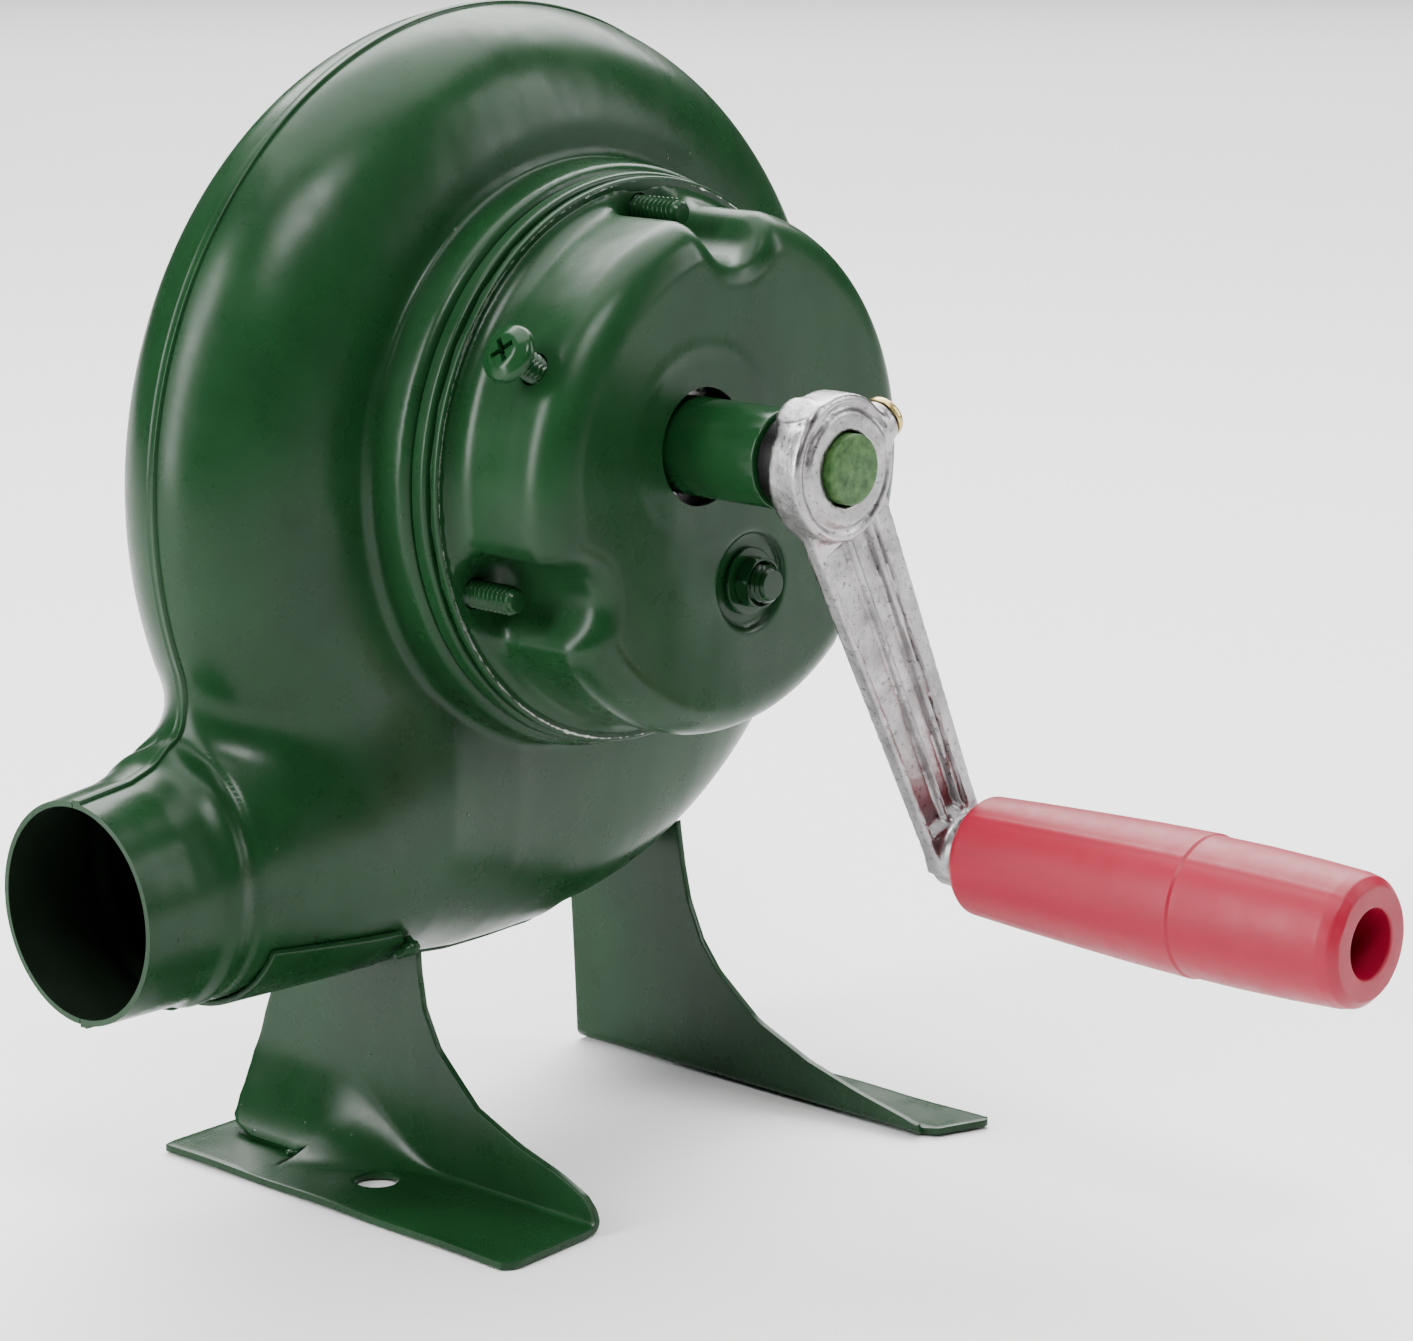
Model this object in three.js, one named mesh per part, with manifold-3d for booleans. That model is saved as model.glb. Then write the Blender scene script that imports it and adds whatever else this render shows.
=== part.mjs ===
// Hand-cranked centrifugal blower for a coal forge.
// Millimetres, +Z up. The fan axis runs along Y through x = 0, z = 0, and the two halves of the
// casing meet in the plane y = 0. The crank is on the -Y side, the air intake on the +Y side, and
// the outlet points along -X. The outer group moves the whole to stand on z = 0.

import * as THREE from 'three';
import { mergeVertices } from 'three/addons/utils/BufferGeometryUtils.js';
import Module from 'manifold-3d';

const wasm = await Module();
wasm.setup();

// ---------------------------------------------------------------- driving dimensions

const GAP = 0.3;                        // between pieces that touch on the real object
const RUNNING_GAP = 0.15;               // radial play of a shaft in its bush
const SHEET = 1.2;                      // pressed casing sheet
const GROUND_BELOW_AXIS = 149.2;

const VOLUTE = {
  radius: 95,                           // rim of the snail casing, where the halves meet
  shift: new THREE.Vector3(-0.8, 0, -3.6),
  crestRadius: 66,                      // where the bulge is deepest
  crankBulge: 25,
  intakeBulge: 23.6,
  collarRadius: 61,
  collarDepth: 35.5,                    // flat wall that carries the gearbox
  recessRadius: 64.5,
  intakeDepth: 21.6,                    // recessed flat wall on the intake side
};
// The rim grows towards the outlet: by how much, and between which angles in degrees.
const SPIRAL = { growth: 6.8, from: 40, full: -88, gone: -155 };
const VOLUTE_SEGMENTS = 36;
const BULGE_STEPS = 6;

const OUTLET_BEAD = { x: -98, z: -78.4, radius: 24.9, width: 6, height: 1.2 };
// Stations of the outlet duct, from the mouth to where it has melted into the casing.
const DUCT_STATIONS = [
  { x: -118.1, bottom: -102.7, top: -57.2, halfWidth: 22.5 },
  { x: -96, bottom: -103.2, top: -52.2, halfWidth: 23 },
  { x: -90, bottom: -103.3, top: -49, halfWidth: 23.6 },
  { x: -80, bottom: -103.6, top: -43.5, halfWidth: 25 },
  { x: -60, bottom: -104.4, top: -38, halfWidth: 27 },
  { x: -40, bottom: -105, top: -36, halfWidth: 27 },
  { x: -20, bottom: -104.6, top: -36, halfWidth: 23 },
  { x: 0, bottom: -101, top: -36, halfWidth: 17 },
];
const DUCT_SEGMENTS = 24;

const SCREW = { shank: 3, head: 6, headHeight: 3 };       // M6 pan head, used all over the casing

const INTAKE = { holeRadius: 48.5, plateRadius: 47.5, flangeRadius: 61, plateY: 22.8, screwCircle: 56 };
const INTAKE_SCREW_ANGLES = [150, 270, 30];
const INTAKE_OPENINGS = 4;

const BUSH_WALL = 1.8;
const BACK_PLATE = { radius: 58, thickness: 2.5 };
const BASE_RING = { outer: 59.8, inner: 46, front: -39.4 };     // stands the gearbox off the casing
const GASKET_THICKNESS = 0.6;
const DRUM = {
  sheet: 1.5,
  flangeRadius: 58.8,
  flangeThickness: 1.2,
  radius: 54,
  faceDepth: 70,                        // front face of the gearbox
  shoulder: 8.5,
  flangeFillet: 3,
  screwCircle: 52.3,
  fluteRadius: 8.4,                     // hollows in the wall that clear the flange screws
  crankHole: 12,
};
const FLANGE_SCREW_ANGLES = [90, 203, 324];
const FLANGE_SCREW_TIP = 54;            // how far in front of the seam plane the threads reach
const OIL_SCREW = { angle: 151, y: -58, headOut: 64 };
const DIMPLE = { radius: 9.8, depth: 1.4 };

const MODULE = 1;
const PRESSURE_ANGLE = THREE.MathUtils.degToRad(20);
const TOOTH_BACKLASH = 0.3;
const CENTRE_EASE = 0.1;
const TEETH = { drive: 54, idlerPinion: 12, idler: 32, impellerPinion: 12 };

const CRANK = {
  x: -11.5,
  z: 7.8,
  shaftRadius: 7,
  journalRadius: 4.5,
  shaftEnd: -109.9,
  sleeveRadius: 10,
  sleeveEnd: -92,
  hubBack: -99.6,
  hubFront: -107.5,
  hubRadius: 14.6,
};
const HANDLE = { x: 31.1, z: -78.2, radius: 14.5, start: -109, end: -203.2, boreRadius: 7, boreDepth: 30 };
const PIN_RADIUS = 4;

const DRIVE_GEAR_Y = { front: -64, back: -57 };
const IDLER_GEAR_Y = { front: -53.5, back: -47.5 };

const IMPELLER = { shaftRadius: 4, discRadius: 60, discY: -20, bladeTop: 14, bladeInner: 26, bladeOuter: 61 };
const BLADE_COUNT = 8;

const FOOT_SHEET = 1.5;
const FRONT_FOOT = { x: -45.6, flangeEnd: -71.8, backY: 28.5, frontY: -73 };
const REAR_FOOT = { x: 44.6, flangeEnd: 60, backY: 20, frontY: -89 };
// Front edges of the two webs, from the casing down to the toe, as y and z.
const FRONT_WEB_EDGE = [[-19.3, -88], [-19.5, -99], [-22, -112], [-26.4, -120], [-37, -130], [-49.6, -135.4],
  [-61, -138.5], [-68.5, -141.5], [-71.5, -145]];
const REAR_WEB_EDGE = [[-11.8, -74], [-12.4, -91], [-15.5, -109], [-24.6, -123.7], [-36.7, -132.9], [-51.5, -139.2],
  [-66, -143], [-80, -145.6]];
const BOLT_HOLE = { x: -56.5, y: -18.7, radius: 4.75 };
const SADDLE = { fromX: -86, toX: -40, back: 8, front: -18, sheet: 1.3 };

const FINE = 30;                        // sides of a large round
const ROUND = 20;                       // sides of a shaft or bush
const COARSE = 12;                      // sides of a screw

// ---------------------------------------------------------------- looks

const GREEN = new THREE.Color(0.03, 0.16, 0.06);
const looks = {
  paint: () => new THREE.MeshStandardMaterial({ color: GREEN, roughness: 0.25, metalness: 0.1 }),
  steel: () => new THREE.MeshStandardMaterial({ color: 0x9a9a98, roughness: 0.35, metalness: 1 }),
  zinc: () => new THREE.MeshStandardMaterial({ color: 0xc9b277, roughness: 0.35, metalness: 1 }),
  bronze: () => new THREE.MeshStandardMaterial({ color: 0xa9773a, roughness: 0.4, metalness: 1 }),
  aluminium: () => new THREE.MeshStandardMaterial({ color: 0xaca7aa, roughness: 0.45, metalness: 1 }),
  blackOxide: () => new THREE.MeshStandardMaterial({ color: 0x1b1b1b, roughness: 0.5, metalness: 0.6 }),
  gasket: () => new THREE.MeshStandardMaterial({ color: 0x20261f, roughness: 0.9, metalness: 0 }),
  red: () => new THREE.MeshStandardMaterial({ color: 0xcf3a50, roughness: 0.5, metalness: 0 }),
};

// ---------------------------------------------------------------- solids and booleans

function toSolid(geometry) {
  const bare = geometry.index ? geometry.clone() : geometry;
  bare.deleteAttribute('normal');
  bare.deleteAttribute('uv');
  const merged = mergeVertices(bare, 1e-4);
  return new wasm.Manifold(new wasm.Mesh({
    numProp: 3,
    vertProperties: new Float32Array(merged.attributes.position.array),
    triVerts: new Uint32Array(merged.index.array),
  }));
}

function toGeometry(solid) {
  const mesh = solid.getMesh();
  const geometry = new THREE.BufferGeometry();
  geometry.setAttribute('position', new THREE.BufferAttribute(mesh.vertProperties, 3));
  geometry.setIndex(new THREE.BufferAttribute(mesh.triVerts, 1));
  geometry.computeVertexNormals();
  return geometry;
}

const subtractAll = (solid, tools) => tools.reduce((rest, tool) => rest.subtract(tool), solid);
const addAll = (solids) => solids.reduce((sum, solid) => sum.add(solid));
const radians = THREE.MathUtils.degToRad;

// A point in the plane of the wheel faces, at an angle in degrees from +X towards +Z.
function polar(radius, degrees) {
  return { x: radius * Math.cos(radians(degrees)), z: radius * Math.sin(radians(degrees)) };
}

// A round bar along Y.
function bar(radius, yFrom, yTo, { x = 0, z = 0, sides = ROUND } = {}) {
  const geometry = new THREE.CylinderGeometry(radius, radius, Math.abs(yTo - yFrom), sides);
  return geometry.translate(x, (yFrom + yTo) / 2, z);
}

// A ring or tube about the Y axis: a closed profile of [radius, y] pairs.
function turned(pairs, sides = ROUND) {
  const profile = pairs.map(([radius, y]) => new THREE.Vector2(radius, y));
  if (pairs[0][0] > 0) profile.push(profile[0].clone());
  const geometry = new THREE.LatheGeometry(profile, sides);
  return outwards(geometry);
}

// LatheGeometry faces follow the direction of the profile: turn them outwards.
function outwards(geometry) {
  geometry.deleteAttribute('normal');
  geometry.deleteAttribute('uv');
  const merged = dropEmptyFaces(mergeVertices(geometry, 1e-4));
  if (signedVolume(merged) < 0) {
    const index = merged.index.array;
    for (let i = 0; i < index.length; i += 3) [index[i], index[i + 1]] = [index[i + 1], index[i]];
  }
  merged.computeVertexNormals();
  return merged;
}

function dropEmptyFaces(geometry) {
  const kept = [];
  const index = geometry.index.array;
  for (let i = 0; i < index.length; i += 3) {
    const [a, b, c] = [index[i], index[i + 1], index[i + 2]];
    if (a !== b && b !== c && a !== c) kept.push(a, b, c);
  }
  geometry.setIndex(kept);
  return geometry;
}

function signedVolume(geometry) {
  const position = geometry.attributes.position;
  const index = geometry.index.array;
  const corners = [0, 1, 2].map(() => new THREE.Vector3());
  let volume = 0;
  for (let i = 0; i < index.length; i += 3) {
    corners.forEach((corner, k) => corner.fromBufferAttribute(position, index[i + k]));
    volume += corners[0].dot(corners[1].clone().cross(corners[2])) / 6;
  }
  return volume;
}

// A flat plate with the outline drawn in X and Z, between two Y planes.
function plateXZ(outline, yFrom, yTo, curveSegments = 5) {
  const geometry = new THREE.ExtrudeGeometry(outline, {
    depth: Math.abs(yTo - yFrom),
    bevelEnabled: false,
    curveSegments,
  });
  return geometry.rotateX(Math.PI / 2).translate(0, Math.max(yFrom, yTo), 0);
}

// A flat plate with the outline drawn in Y and Z, between two X planes.
function plateYZ(outline, xFrom, xTo) {
  const geometry = new THREE.ExtrudeGeometry(outline, {
    depth: Math.abs(xTo - xFrom),
    bevelEnabled: false,
    curveSegments: 6,
  });
  const cyclic = new THREE.Matrix4().makeBasis(
    new THREE.Vector3(0, 1, 0),
    new THREE.Vector3(0, 0, 1),
    new THREE.Vector3(1, 0, 0),
  );
  return geometry.applyMatrix4(cyclic).translate(Math.min(xFrom, xTo), 0, 0);
}

function box(min, max) {
  const size = max.map((value, axis) => value - min[axis]);
  const centre = max.map((value, axis) => (value + min[axis]) / 2);
  return new THREE.BoxGeometry(...size).translate(...centre);
}

const part = new THREE.Group();

function node(name, geometry, material, { x = 0, y = 0, z = 0, turn = 0 } = {}) {
  const mesh = new THREE.Mesh(geometry, material);
  mesh.name = name;
  mesh.position.set(x, y, z);
  mesh.rotation.y = turn;
  part.add(mesh);
  return mesh;
}

// ---------------------------------------------------------------- casing

// Half of the bulging section, from the rim to the crest, shrunk by an inset.
function bulge(side, depth, inset) {
  const width = VOLUTE.radius - VOLUTE.crestRadius - inset;
  const points = [];
  for (let step = 0; step <= BULGE_STEPS; step += 1) {
    const angle = (Math.PI / 2) * (step / BULGE_STEPS);
    const radius = VOLUTE.crestRadius + width * Math.cos(angle);
    points.push([radius, side * (depth - inset) * Math.sin(angle)]);
  }
  return points;
}

// How far the rim has grown at an angle in degrees.
function spiralGrowth(degrees) {
  const { growth, from, full, gone } = SPIRAL;
  const rising = THREE.MathUtils.smoothstep(-degrees, -from, -full);
  const falling = THREE.MathUtils.smoothstep(-degrees, -full, -gone);
  return growth * (rising - falling);
}

// The closed casing without its outlet. The rim is not quite concentric with the fan.
function snailSolid(inset) {
  const { crestRadius, crankBulge, intakeBulge, collarRadius, collarDepth, recessRadius, intakeDepth } = VOLUTE;
  const crankSide = [
    [0, -collarDepth + inset],
    [collarRadius - inset, -collarDepth + inset],
    [collarRadius - inset, -crankBulge + inset],
    ...bulge(-1, crankBulge, inset).reverse(),
  ];
  const intakeSide = [
    ...bulge(1, intakeBulge, inset).slice(1),
    [recessRadius + inset / 2, intakeDepth - inset],
    [0, intakeDepth - inset],
  ];
  const geometry = turned([...crankSide, ...intakeSide], VOLUTE_SEGMENTS);
  const position = geometry.attributes.position;
  for (let i = 0; i < position.count; i += 1) {
    const radius = Math.hypot(position.getX(i), position.getZ(i));
    const turn = Math.atan2(position.getZ(i), position.getX(i));
    const share = THREE.MathUtils.smoothstep(radius, crestRadius, VOLUTE.radius);
    const growth = spiralGrowth(THREE.MathUtils.radToDeg(turn));
    position.setX(i, position.getX(i) + share * (VOLUTE.shift.x + growth * Math.cos(turn)));
    position.setZ(i, position.getZ(i) + share * (VOLUTE.shift.z + growth * Math.sin(turn)));
  }
  return toSolid(geometry);
}

// The outlet duct as a solid, grown or shrunk by an inset and open past the mouth if asked.
function ductSolid(inset, mouthOverrun) {
  const stations = DUCT_STATIONS;
  const geometry = new THREE.CylinderGeometry(1, 1, stations.length - 1, DUCT_SEGMENTS, stations.length - 1);
  geometry.rotateZ(-Math.PI / 2).translate((stations.length - 1) / 2, 0, 0);
  const position = geometry.attributes.position;
  for (let i = 0; i < position.count; i += 1) {
    const station = stations[Math.round(position.getX(i))];
    const isMouth = station === stations[0];
    const halfHeight = (station.top - station.bottom) / 2;
    const length = Math.hypot(position.getY(i), position.getZ(i));
    const scaleY = length > 0 ? (station.halfWidth - inset) : 0;
    const scaleZ = length > 0 ? (halfHeight - inset) : 0;
    position.setX(i, station.x - (isMouth ? mouthOverrun : 0));
    position.setY(i, position.getY(i) * scaleY);
    position.setZ(i, station.bottom + halfHeight + position.getZ(i) * scaleZ);
  }
  return toSolid(geometry);
}

function casingSolid(inset, mouthOverrun = 0) {
  return snailSolid(inset).add(ductSolid(inset, mouthOverrun));
}

// The raised bead pressed into the outlet pipe near its root.
function outletBead() {
  const { x, z, radius, width, height } = OUTLET_BEAD;
  const geometry = turned([
    [radius - SHEET / 2, -width / 2],
    [radius, -width / 2],
    [radius + height, -width / 5],
    [radius + height, width / 5],
    [radius, width / 2],
    [radius - SHEET / 2, width / 2],
  ], DUCT_SEGMENTS);
  return toSolid(geometry.rotateZ(Math.PI / 2).scale(1, 0.93, 1).translate(x, 0, z));
}

const FAR = 300;
const crankHalf = toSolid(box([-FAR, -FAR, -FAR], [FAR, -GAP / 2, FAR]));
const intakeHalf = toSolid(box([-FAR, GAP / 2, -FAR], [FAR, FAR, FAR]));

function addCasing() {
  const hollow = casingSolid(0).add(outletBead()).subtract(casingSolid(SHEET, 5));
  const gearOpening = toSolid(bar(34, -VOLUTE.collarDepth - 5, -VOLUTE.collarDepth + 5, { sides: FINE }));
  const flangeHoles = FLANGE_SCREW_ANGLES.map((angle) => toSolid(bar(
    SCREW.shank + GAP,
    -VOLUTE.collarDepth - 5,
    -VOLUTE.collarDepth + 5,
    { ...polar(DRUM.screwCircle, angle), sides: COARSE },
  )));
  const crankShell = subtractAll(hollow.intersect(crankHalf), [gearOpening, ...flangeHoles]);
  node('crank_side_shell', toGeometry(crankShell), looks.paint());

  const intakeHole = toSolid(bar(INTAKE.holeRadius, VOLUTE.intakeDepth - 5, VOLUTE.intakeDepth + 5, { sides: FINE }));
  const coverHoles = INTAKE_SCREW_ANGLES.map((angle) => toSolid(bar(
    SCREW.shank + GAP,
    VOLUTE.intakeDepth - 5,
    VOLUTE.intakeDepth + 5,
    { ...polar(INTAKE.screwCircle, angle), sides: COARSE },
  )));
  const intakeShell = subtractAll(hollow.intersect(intakeHalf), [intakeHole, ...coverHoles]);
  node('intake_side_shell', toGeometry(intakeShell), looks.paint());
}

// One of the propeller-shaped openings in the intake cover, drawn along +X.
function bladeOpening() {
  const shape = new THREE.Shape();
  const outline = [[10, 2.5], [22, 5.5], [33, 9], [42, 9], [43, 0], [38, -8], [28, -8], [18, -4.5], [9, -2.5]];
  shape.moveTo(...outline[0]);
  shape.splineThru(outline.slice(1).map(([x, y]) => new THREE.Vector2(x, y)));
  shape.closePath();
  return shape;
}

function addIntakeCover() {
  const flangeFront = VOLUTE.intakeDepth - SHEET - GAP;
  const plateBack = INTAKE.plateY - SHEET;
  const dish = turned([
    [3, plateBack],
    [INTAKE.plateRadius - 4, plateBack],
    [INTAKE.plateRadius - 2.5, plateBack + 1.8],
    [INTAKE.plateRadius - SHEET, plateBack + 1],
    [INTAKE.plateRadius - SHEET, flangeFront - SHEET],
    [INTAKE.flangeRadius, flangeFront - SHEET],
    [INTAKE.flangeRadius, flangeFront],
    [INTAKE.plateRadius, flangeFront],
    [INTAKE.plateRadius, plateBack + 2],
    [INTAKE.plateRadius - 2, plateBack + 3.2],
    [INTAKE.plateRadius - 4.5, INTAKE.plateY],
    [3, INTAKE.plateY],
  ], FINE);
  const openings = [];
  for (let i = 0; i < INTAKE_OPENINGS; i += 1) {
    const cutter = plateXZ(bladeOpening(), plateBack - 3, INTAKE.plateY + 3, 2);
    openings.push(toSolid(cutter.rotateY((i * 2 * Math.PI) / INTAKE_OPENINGS)));
  }
  const screwHoles = INTAKE_SCREW_ANGLES.map((angle) => toSolid(bar(
    SCREW.shank + GAP,
    flangeFront - 5,
    flangeFront + 5,
    { ...polar(INTAKE.screwCircle, angle), sides: COARSE },
  )));
  const cover = subtractAll(toSolid(dish), [...openings, ...screwHoles]);
  node('intake_cover', toGeometry(cover), looks.paint());
}

// A pan-head screw along Y with its head towards +Y and its tip at y = 0.
function panScrew(length) {
  const { shank, head, headHeight } = SCREW;
  return turned([
    [0, 0],
    [shank - 0.6, 0],
    [shank, 0.8],
    [shank, length],
    [head, length],
    [head, length + headHeight * 0.4],
    [head * 0.72, length + headHeight * 0.85],
    [0, length + headHeight],
  ], COARSE);
}

function addIntakeScrews() {
  const length = 7;
  INTAKE_SCREW_ANGLES.forEach((angle, i) => {
    const place = { ...polar(INTAKE.screwCircle, angle), y: VOLUTE.intakeDepth + GAP - length };
    node(`intake_cover_screw_${i + 1}`, panScrew(length), looks.paint(), place);
  });
}

// ---------------------------------------------------------------- gearbox

// Where the idler sits: at both gear centre distances at once, below the fan axis.
function idlerAxis() {
  const toCrank = (MODULE * (TEETH.drive + TEETH.idlerPinion)) / 2 + CENTRE_EASE;
  const toFan = (MODULE * (TEETH.idler + TEETH.impellerPinion)) / 2 + CENTRE_EASE;
  const apart = Math.hypot(CRANK.x, CRANK.z);
  const along = (toCrank ** 2 - toFan ** 2 + apart ** 2) / (2 * apart);
  const across = Math.sqrt(toCrank ** 2 - along ** 2);
  const unit = { x: -CRANK.x / apart, z: -CRANK.z / apart };
  return {
    x: CRANK.x + along * unit.x + across * unit.z,
    z: CRANK.z + along * unit.z - across * unit.x,
  };
}
const IDLER = idlerAxis();

const plateFront = -VOLUTE.collarDepth + SHEET + GAP;
const plateBackFace = plateFront + BACK_PLATE.thickness;
const gasketBack = BASE_RING.front - GAP;
const flangeBack = gasketBack - GASKET_THICKNESS - GAP;
const flangeFront = flangeBack - DRUM.flangeThickness;

function flangeScrewHoles(yFrom, yTo) {
  return FLANGE_SCREW_ANGLES.map((angle) => toSolid(bar(
    SCREW.shank + GAP,
    yFrom,
    yTo,
    { ...polar(DRUM.screwCircle, angle), sides: COARSE },
  )));
}

function addBackPlate() {
  const plate = toSolid(bar(BACK_PLATE.radius, plateFront, plateBackFace, { sides: FINE }));
  const bores = [
    toSolid(bar(CRANK.journalRadius + BUSH_WALL + GAP, -FAR, FAR, { x: CRANK.x, z: CRANK.z })),
    toSolid(bar(IMPELLER.shaftRadius + BUSH_WALL + GAP, -FAR, FAR)),
    toSolid(bar(PIN_RADIUS + GAP, -FAR, FAR, IDLER)),
  ];
  const holes = flangeScrewHoles(-FAR, FAR);
  node('gearbox_back_plate', toGeometry(subtractAll(plate, [...bores, ...holes])), looks.steel());
}

function addBaseRing() {
  const { outer, inner, front } = BASE_RING;
  const back = -VOLUTE.collarDepth - GAP;
  const ring = turned([
    [inner, back],
    [outer, back],
    [outer, front + 0.6],
    [outer - 0.6, front],
    [inner, front],
  ], FINE);
  const drilled = subtractAll(toSolid(ring), flangeScrewHoles(-FAR, FAR));
  node('gearbox_base_ring', toGeometry(drilled), looks.paint());
}

function addGasket() {
  const ring = turned([
    [BASE_RING.inner, gasketBack],
    [DRUM.flangeRadius - 0.6, gasketBack],
    [DRUM.flangeRadius - 0.6, gasketBack - GASKET_THICKNESS],
    [BASE_RING.inner, gasketBack - GASKET_THICKNESS],
  ], FINE);
  const gasket = subtractAll(toSolid(ring), flangeScrewHoles(-FAR, FAR));
  node('gearbox_gasket', toGeometry(gasket), looks.gasket());
}

// The drum of the gearbox cover as a solid, shrunk by an inset.
function drumSolid(inset, yOpen) {
  const radius = DRUM.radius - inset;
  const face = -DRUM.faceDepth + inset;
  const shoulder = DRUM.shoulder - inset;
  const profile = [[0, yOpen], [radius + (inset ? 0 : DRUM.flangeFillet), yOpen]];
  profile.push([radius, yOpen - DRUM.flangeFillet]);
  const steps = 3;
  for (let step = 0; step <= steps; step += 1) {
    const angle = (step / steps) * (Math.PI / 2);
    profile.push([
      radius - shoulder + shoulder * Math.cos(angle),
      face + shoulder - shoulder * Math.sin(angle),
    ]);
  }
  profile.push([0, face]);
  return toSolid(turned(profile, FINE));
}

function flutes(radius, yTo) {
  return FLANGE_SCREW_ANGLES.map((angle) => toSolid(bar(
    radius,
    -FAR,
    yTo,
    { ...polar(DRUM.screwCircle, angle), sides: ROUND },
  )));
}

// A bar that lies along a radius of the drum at the oil filler.
function oilBar(radius, from, to, sides = COARSE) {
  const geometry = new THREE.CylinderGeometry(radius, radius, to - from, sides);
  geometry.rotateZ(-Math.PI / 2).translate((from + to) / 2, 0, 0);
  return geometry.rotateY(-radians(OIL_SCREW.angle)).translate(0, OIL_SCREW.y, 0);
}

function addGearboxCover() {
  const rim = turned([
    [DRUM.radius - 10, flangeBack],
    [DRUM.flangeRadius, flangeBack],
    [DRUM.flangeRadius, flangeFront - 0.7],
    [DRUM.flangeRadius - 1.8, flangeFront - 0.7],
    [DRUM.flangeRadius - 2.4, flangeFront],
    [DRUM.radius - 10, flangeFront],
  ], FINE);
  const dimple = toSolid(bar(DIMPLE.radius, -DRUM.faceDepth + DIMPLE.depth, -FAR, IDLER));
  const dimpleInside = toSolid(bar(
    DIMPLE.radius + DRUM.sheet,
    -DRUM.faceDepth + DIMPLE.depth + DRUM.sheet,
    -FAR,
    IDLER,
  ));
  const outside = subtractAll(drumSolid(0, flangeBack), [...flutes(DRUM.fluteRadius, flangeFront), dimple]);
  const inside = subtractAll(drumSolid(DRUM.sheet, flangeBack + 1), [
    ...flutes(DRUM.fluteRadius + DRUM.sheet, FAR),
    dimpleInside,
  ]);
  const openings = [
    toSolid(bar(DRUM.crankHole, -FAR, -DRUM.faceDepth + 5, { x: CRANK.x, z: CRANK.z })),
    toSolid(bar(PIN_RADIUS + GAP, -FAR, -DRUM.faceDepth + 5, IDLER)),
    toSolid(oilBar(SCREW.shank + GAP, DRUM.radius - 8, DRUM.radius + 8)),
    ...flangeScrewHoles(-FAR, FAR),
  ];
  const cover = subtractAll(outside.add(toSolid(rim)).subtract(inside), openings);
  node('gearbox_cover', toGeometry(cover), looks.paint());
}

function addGearboxScrews() {
  const headSeat = plateBackFace + GAP;
  FLANGE_SCREW_ANGLES.forEach((angle, i) => {
    const place = { ...polar(DRUM.screwCircle, angle), y: -FLANGE_SCREW_TIP };
    node(`gearbox_screw_${i + 1}`, panScrew(headSeat + FLANGE_SCREW_TIP), looks.paint(), place);
  });
}

function addOilFillerScrew() {
  const shankLength = 14;
  const geometry = panScrew(shankLength).translate(0, OIL_SCREW.headOut - SCREW.headHeight - shankLength, 0);
  geometry.rotateZ(-Math.PI / 2).rotateY(-radians(OIL_SCREW.angle));
  node('oil_filler_screw', geometry, looks.paint(), { y: OIL_SCREW.y });
}

// A plain bush, with a flange at its -Y end if a flange radius is given.
function bush(bore, outer, yFrom, yTo, flange = 0) {
  const profile = [[bore, yFrom], [bore, yTo], [outer, yTo]];
  if (flange) {
    profile.push([outer, yFrom + 1.5], [flange, yFrom + 1.5], [flange, yFrom]);
  } else {
    profile.push([outer, yFrom]);
  }
  return turned(profile, ROUND);
}

function addBushes() {
  const crankPlace = { x: CRANK.x, z: CRANK.z };
  const sleeve = bush(CRANK.shaftRadius + RUNNING_GAP, CRANK.sleeveRadius, CRANK.sleeveEnd, -65);
  node('crank_bush', sleeve, looks.paint(), crankPlace);
  const flangeSeat = plateFront - GAP - 1.5;
  const { journalRadius } = CRANK;
  const rear = bush(journalRadius + RUNNING_GAP, journalRadius + BUSH_WALL, flangeSeat, -30, journalRadius + 3);
  node('crank_rear_bush', rear, looks.bronze(), crankPlace);
  const { shaftRadius } = IMPELLER;
  const fan = bush(shaftRadius + RUNNING_GAP, shaftRadius + BUSH_WALL, -40.6, -30);
  node('impeller_bush', fan, looks.bronze());
  node('impeller_thrust_collar', bush(shaftRadius + GAP, 8.4, -29.4, -26), looks.steel());
}

// ---------------------------------------------------------------- gears

// Involute tooth outline in the X-Z plane with the middle of one tooth at the phase angle.
function gearOutline(teeth, addendum, phase) {
  const pitch = (MODULE * teeth) / 2;
  const base = pitch * Math.cos(PRESSURE_ANGLE);
  const root = pitch - 1.3 * MODULE;
  const involute = (angle) => Math.tan(angle) - angle;
  const halfTooth = (Math.PI * MODULE / 2 - TOOTH_BACKLASH) / 2 / pitch;
  const halfAt = (radius) => halfTooth + involute(PRESSURE_ANGLE)
    - involute(Math.acos(Math.min(1, base / radius)));
  const flank = [[root, Math.max(root, base)], [pitch, pitch], [pitch + addendum, pitch + addendum]];
  const shape = new THREE.Shape();
  for (let tooth = 0; tooth < teeth; tooth += 1) {
    const middle = phase + (2 * Math.PI * tooth) / teeth;
    const rising = flank.map(([radius, at]) => [radius, middle - halfAt(at)]);
    const falling = flank.map(([radius, at]) => [radius, middle + halfAt(at)]).reverse();
    for (const [radius, angle] of [...rising, ...falling]) {
      const point = [radius * Math.cos(angle), radius * Math.sin(angle)];
      if (tooth === 0 && shape.currentPoint.lengthSq() === 0) shape.moveTo(...point);
      else shape.lineTo(...point);
    }
  }
  shape.closePath();
  return shape;
}

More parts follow.
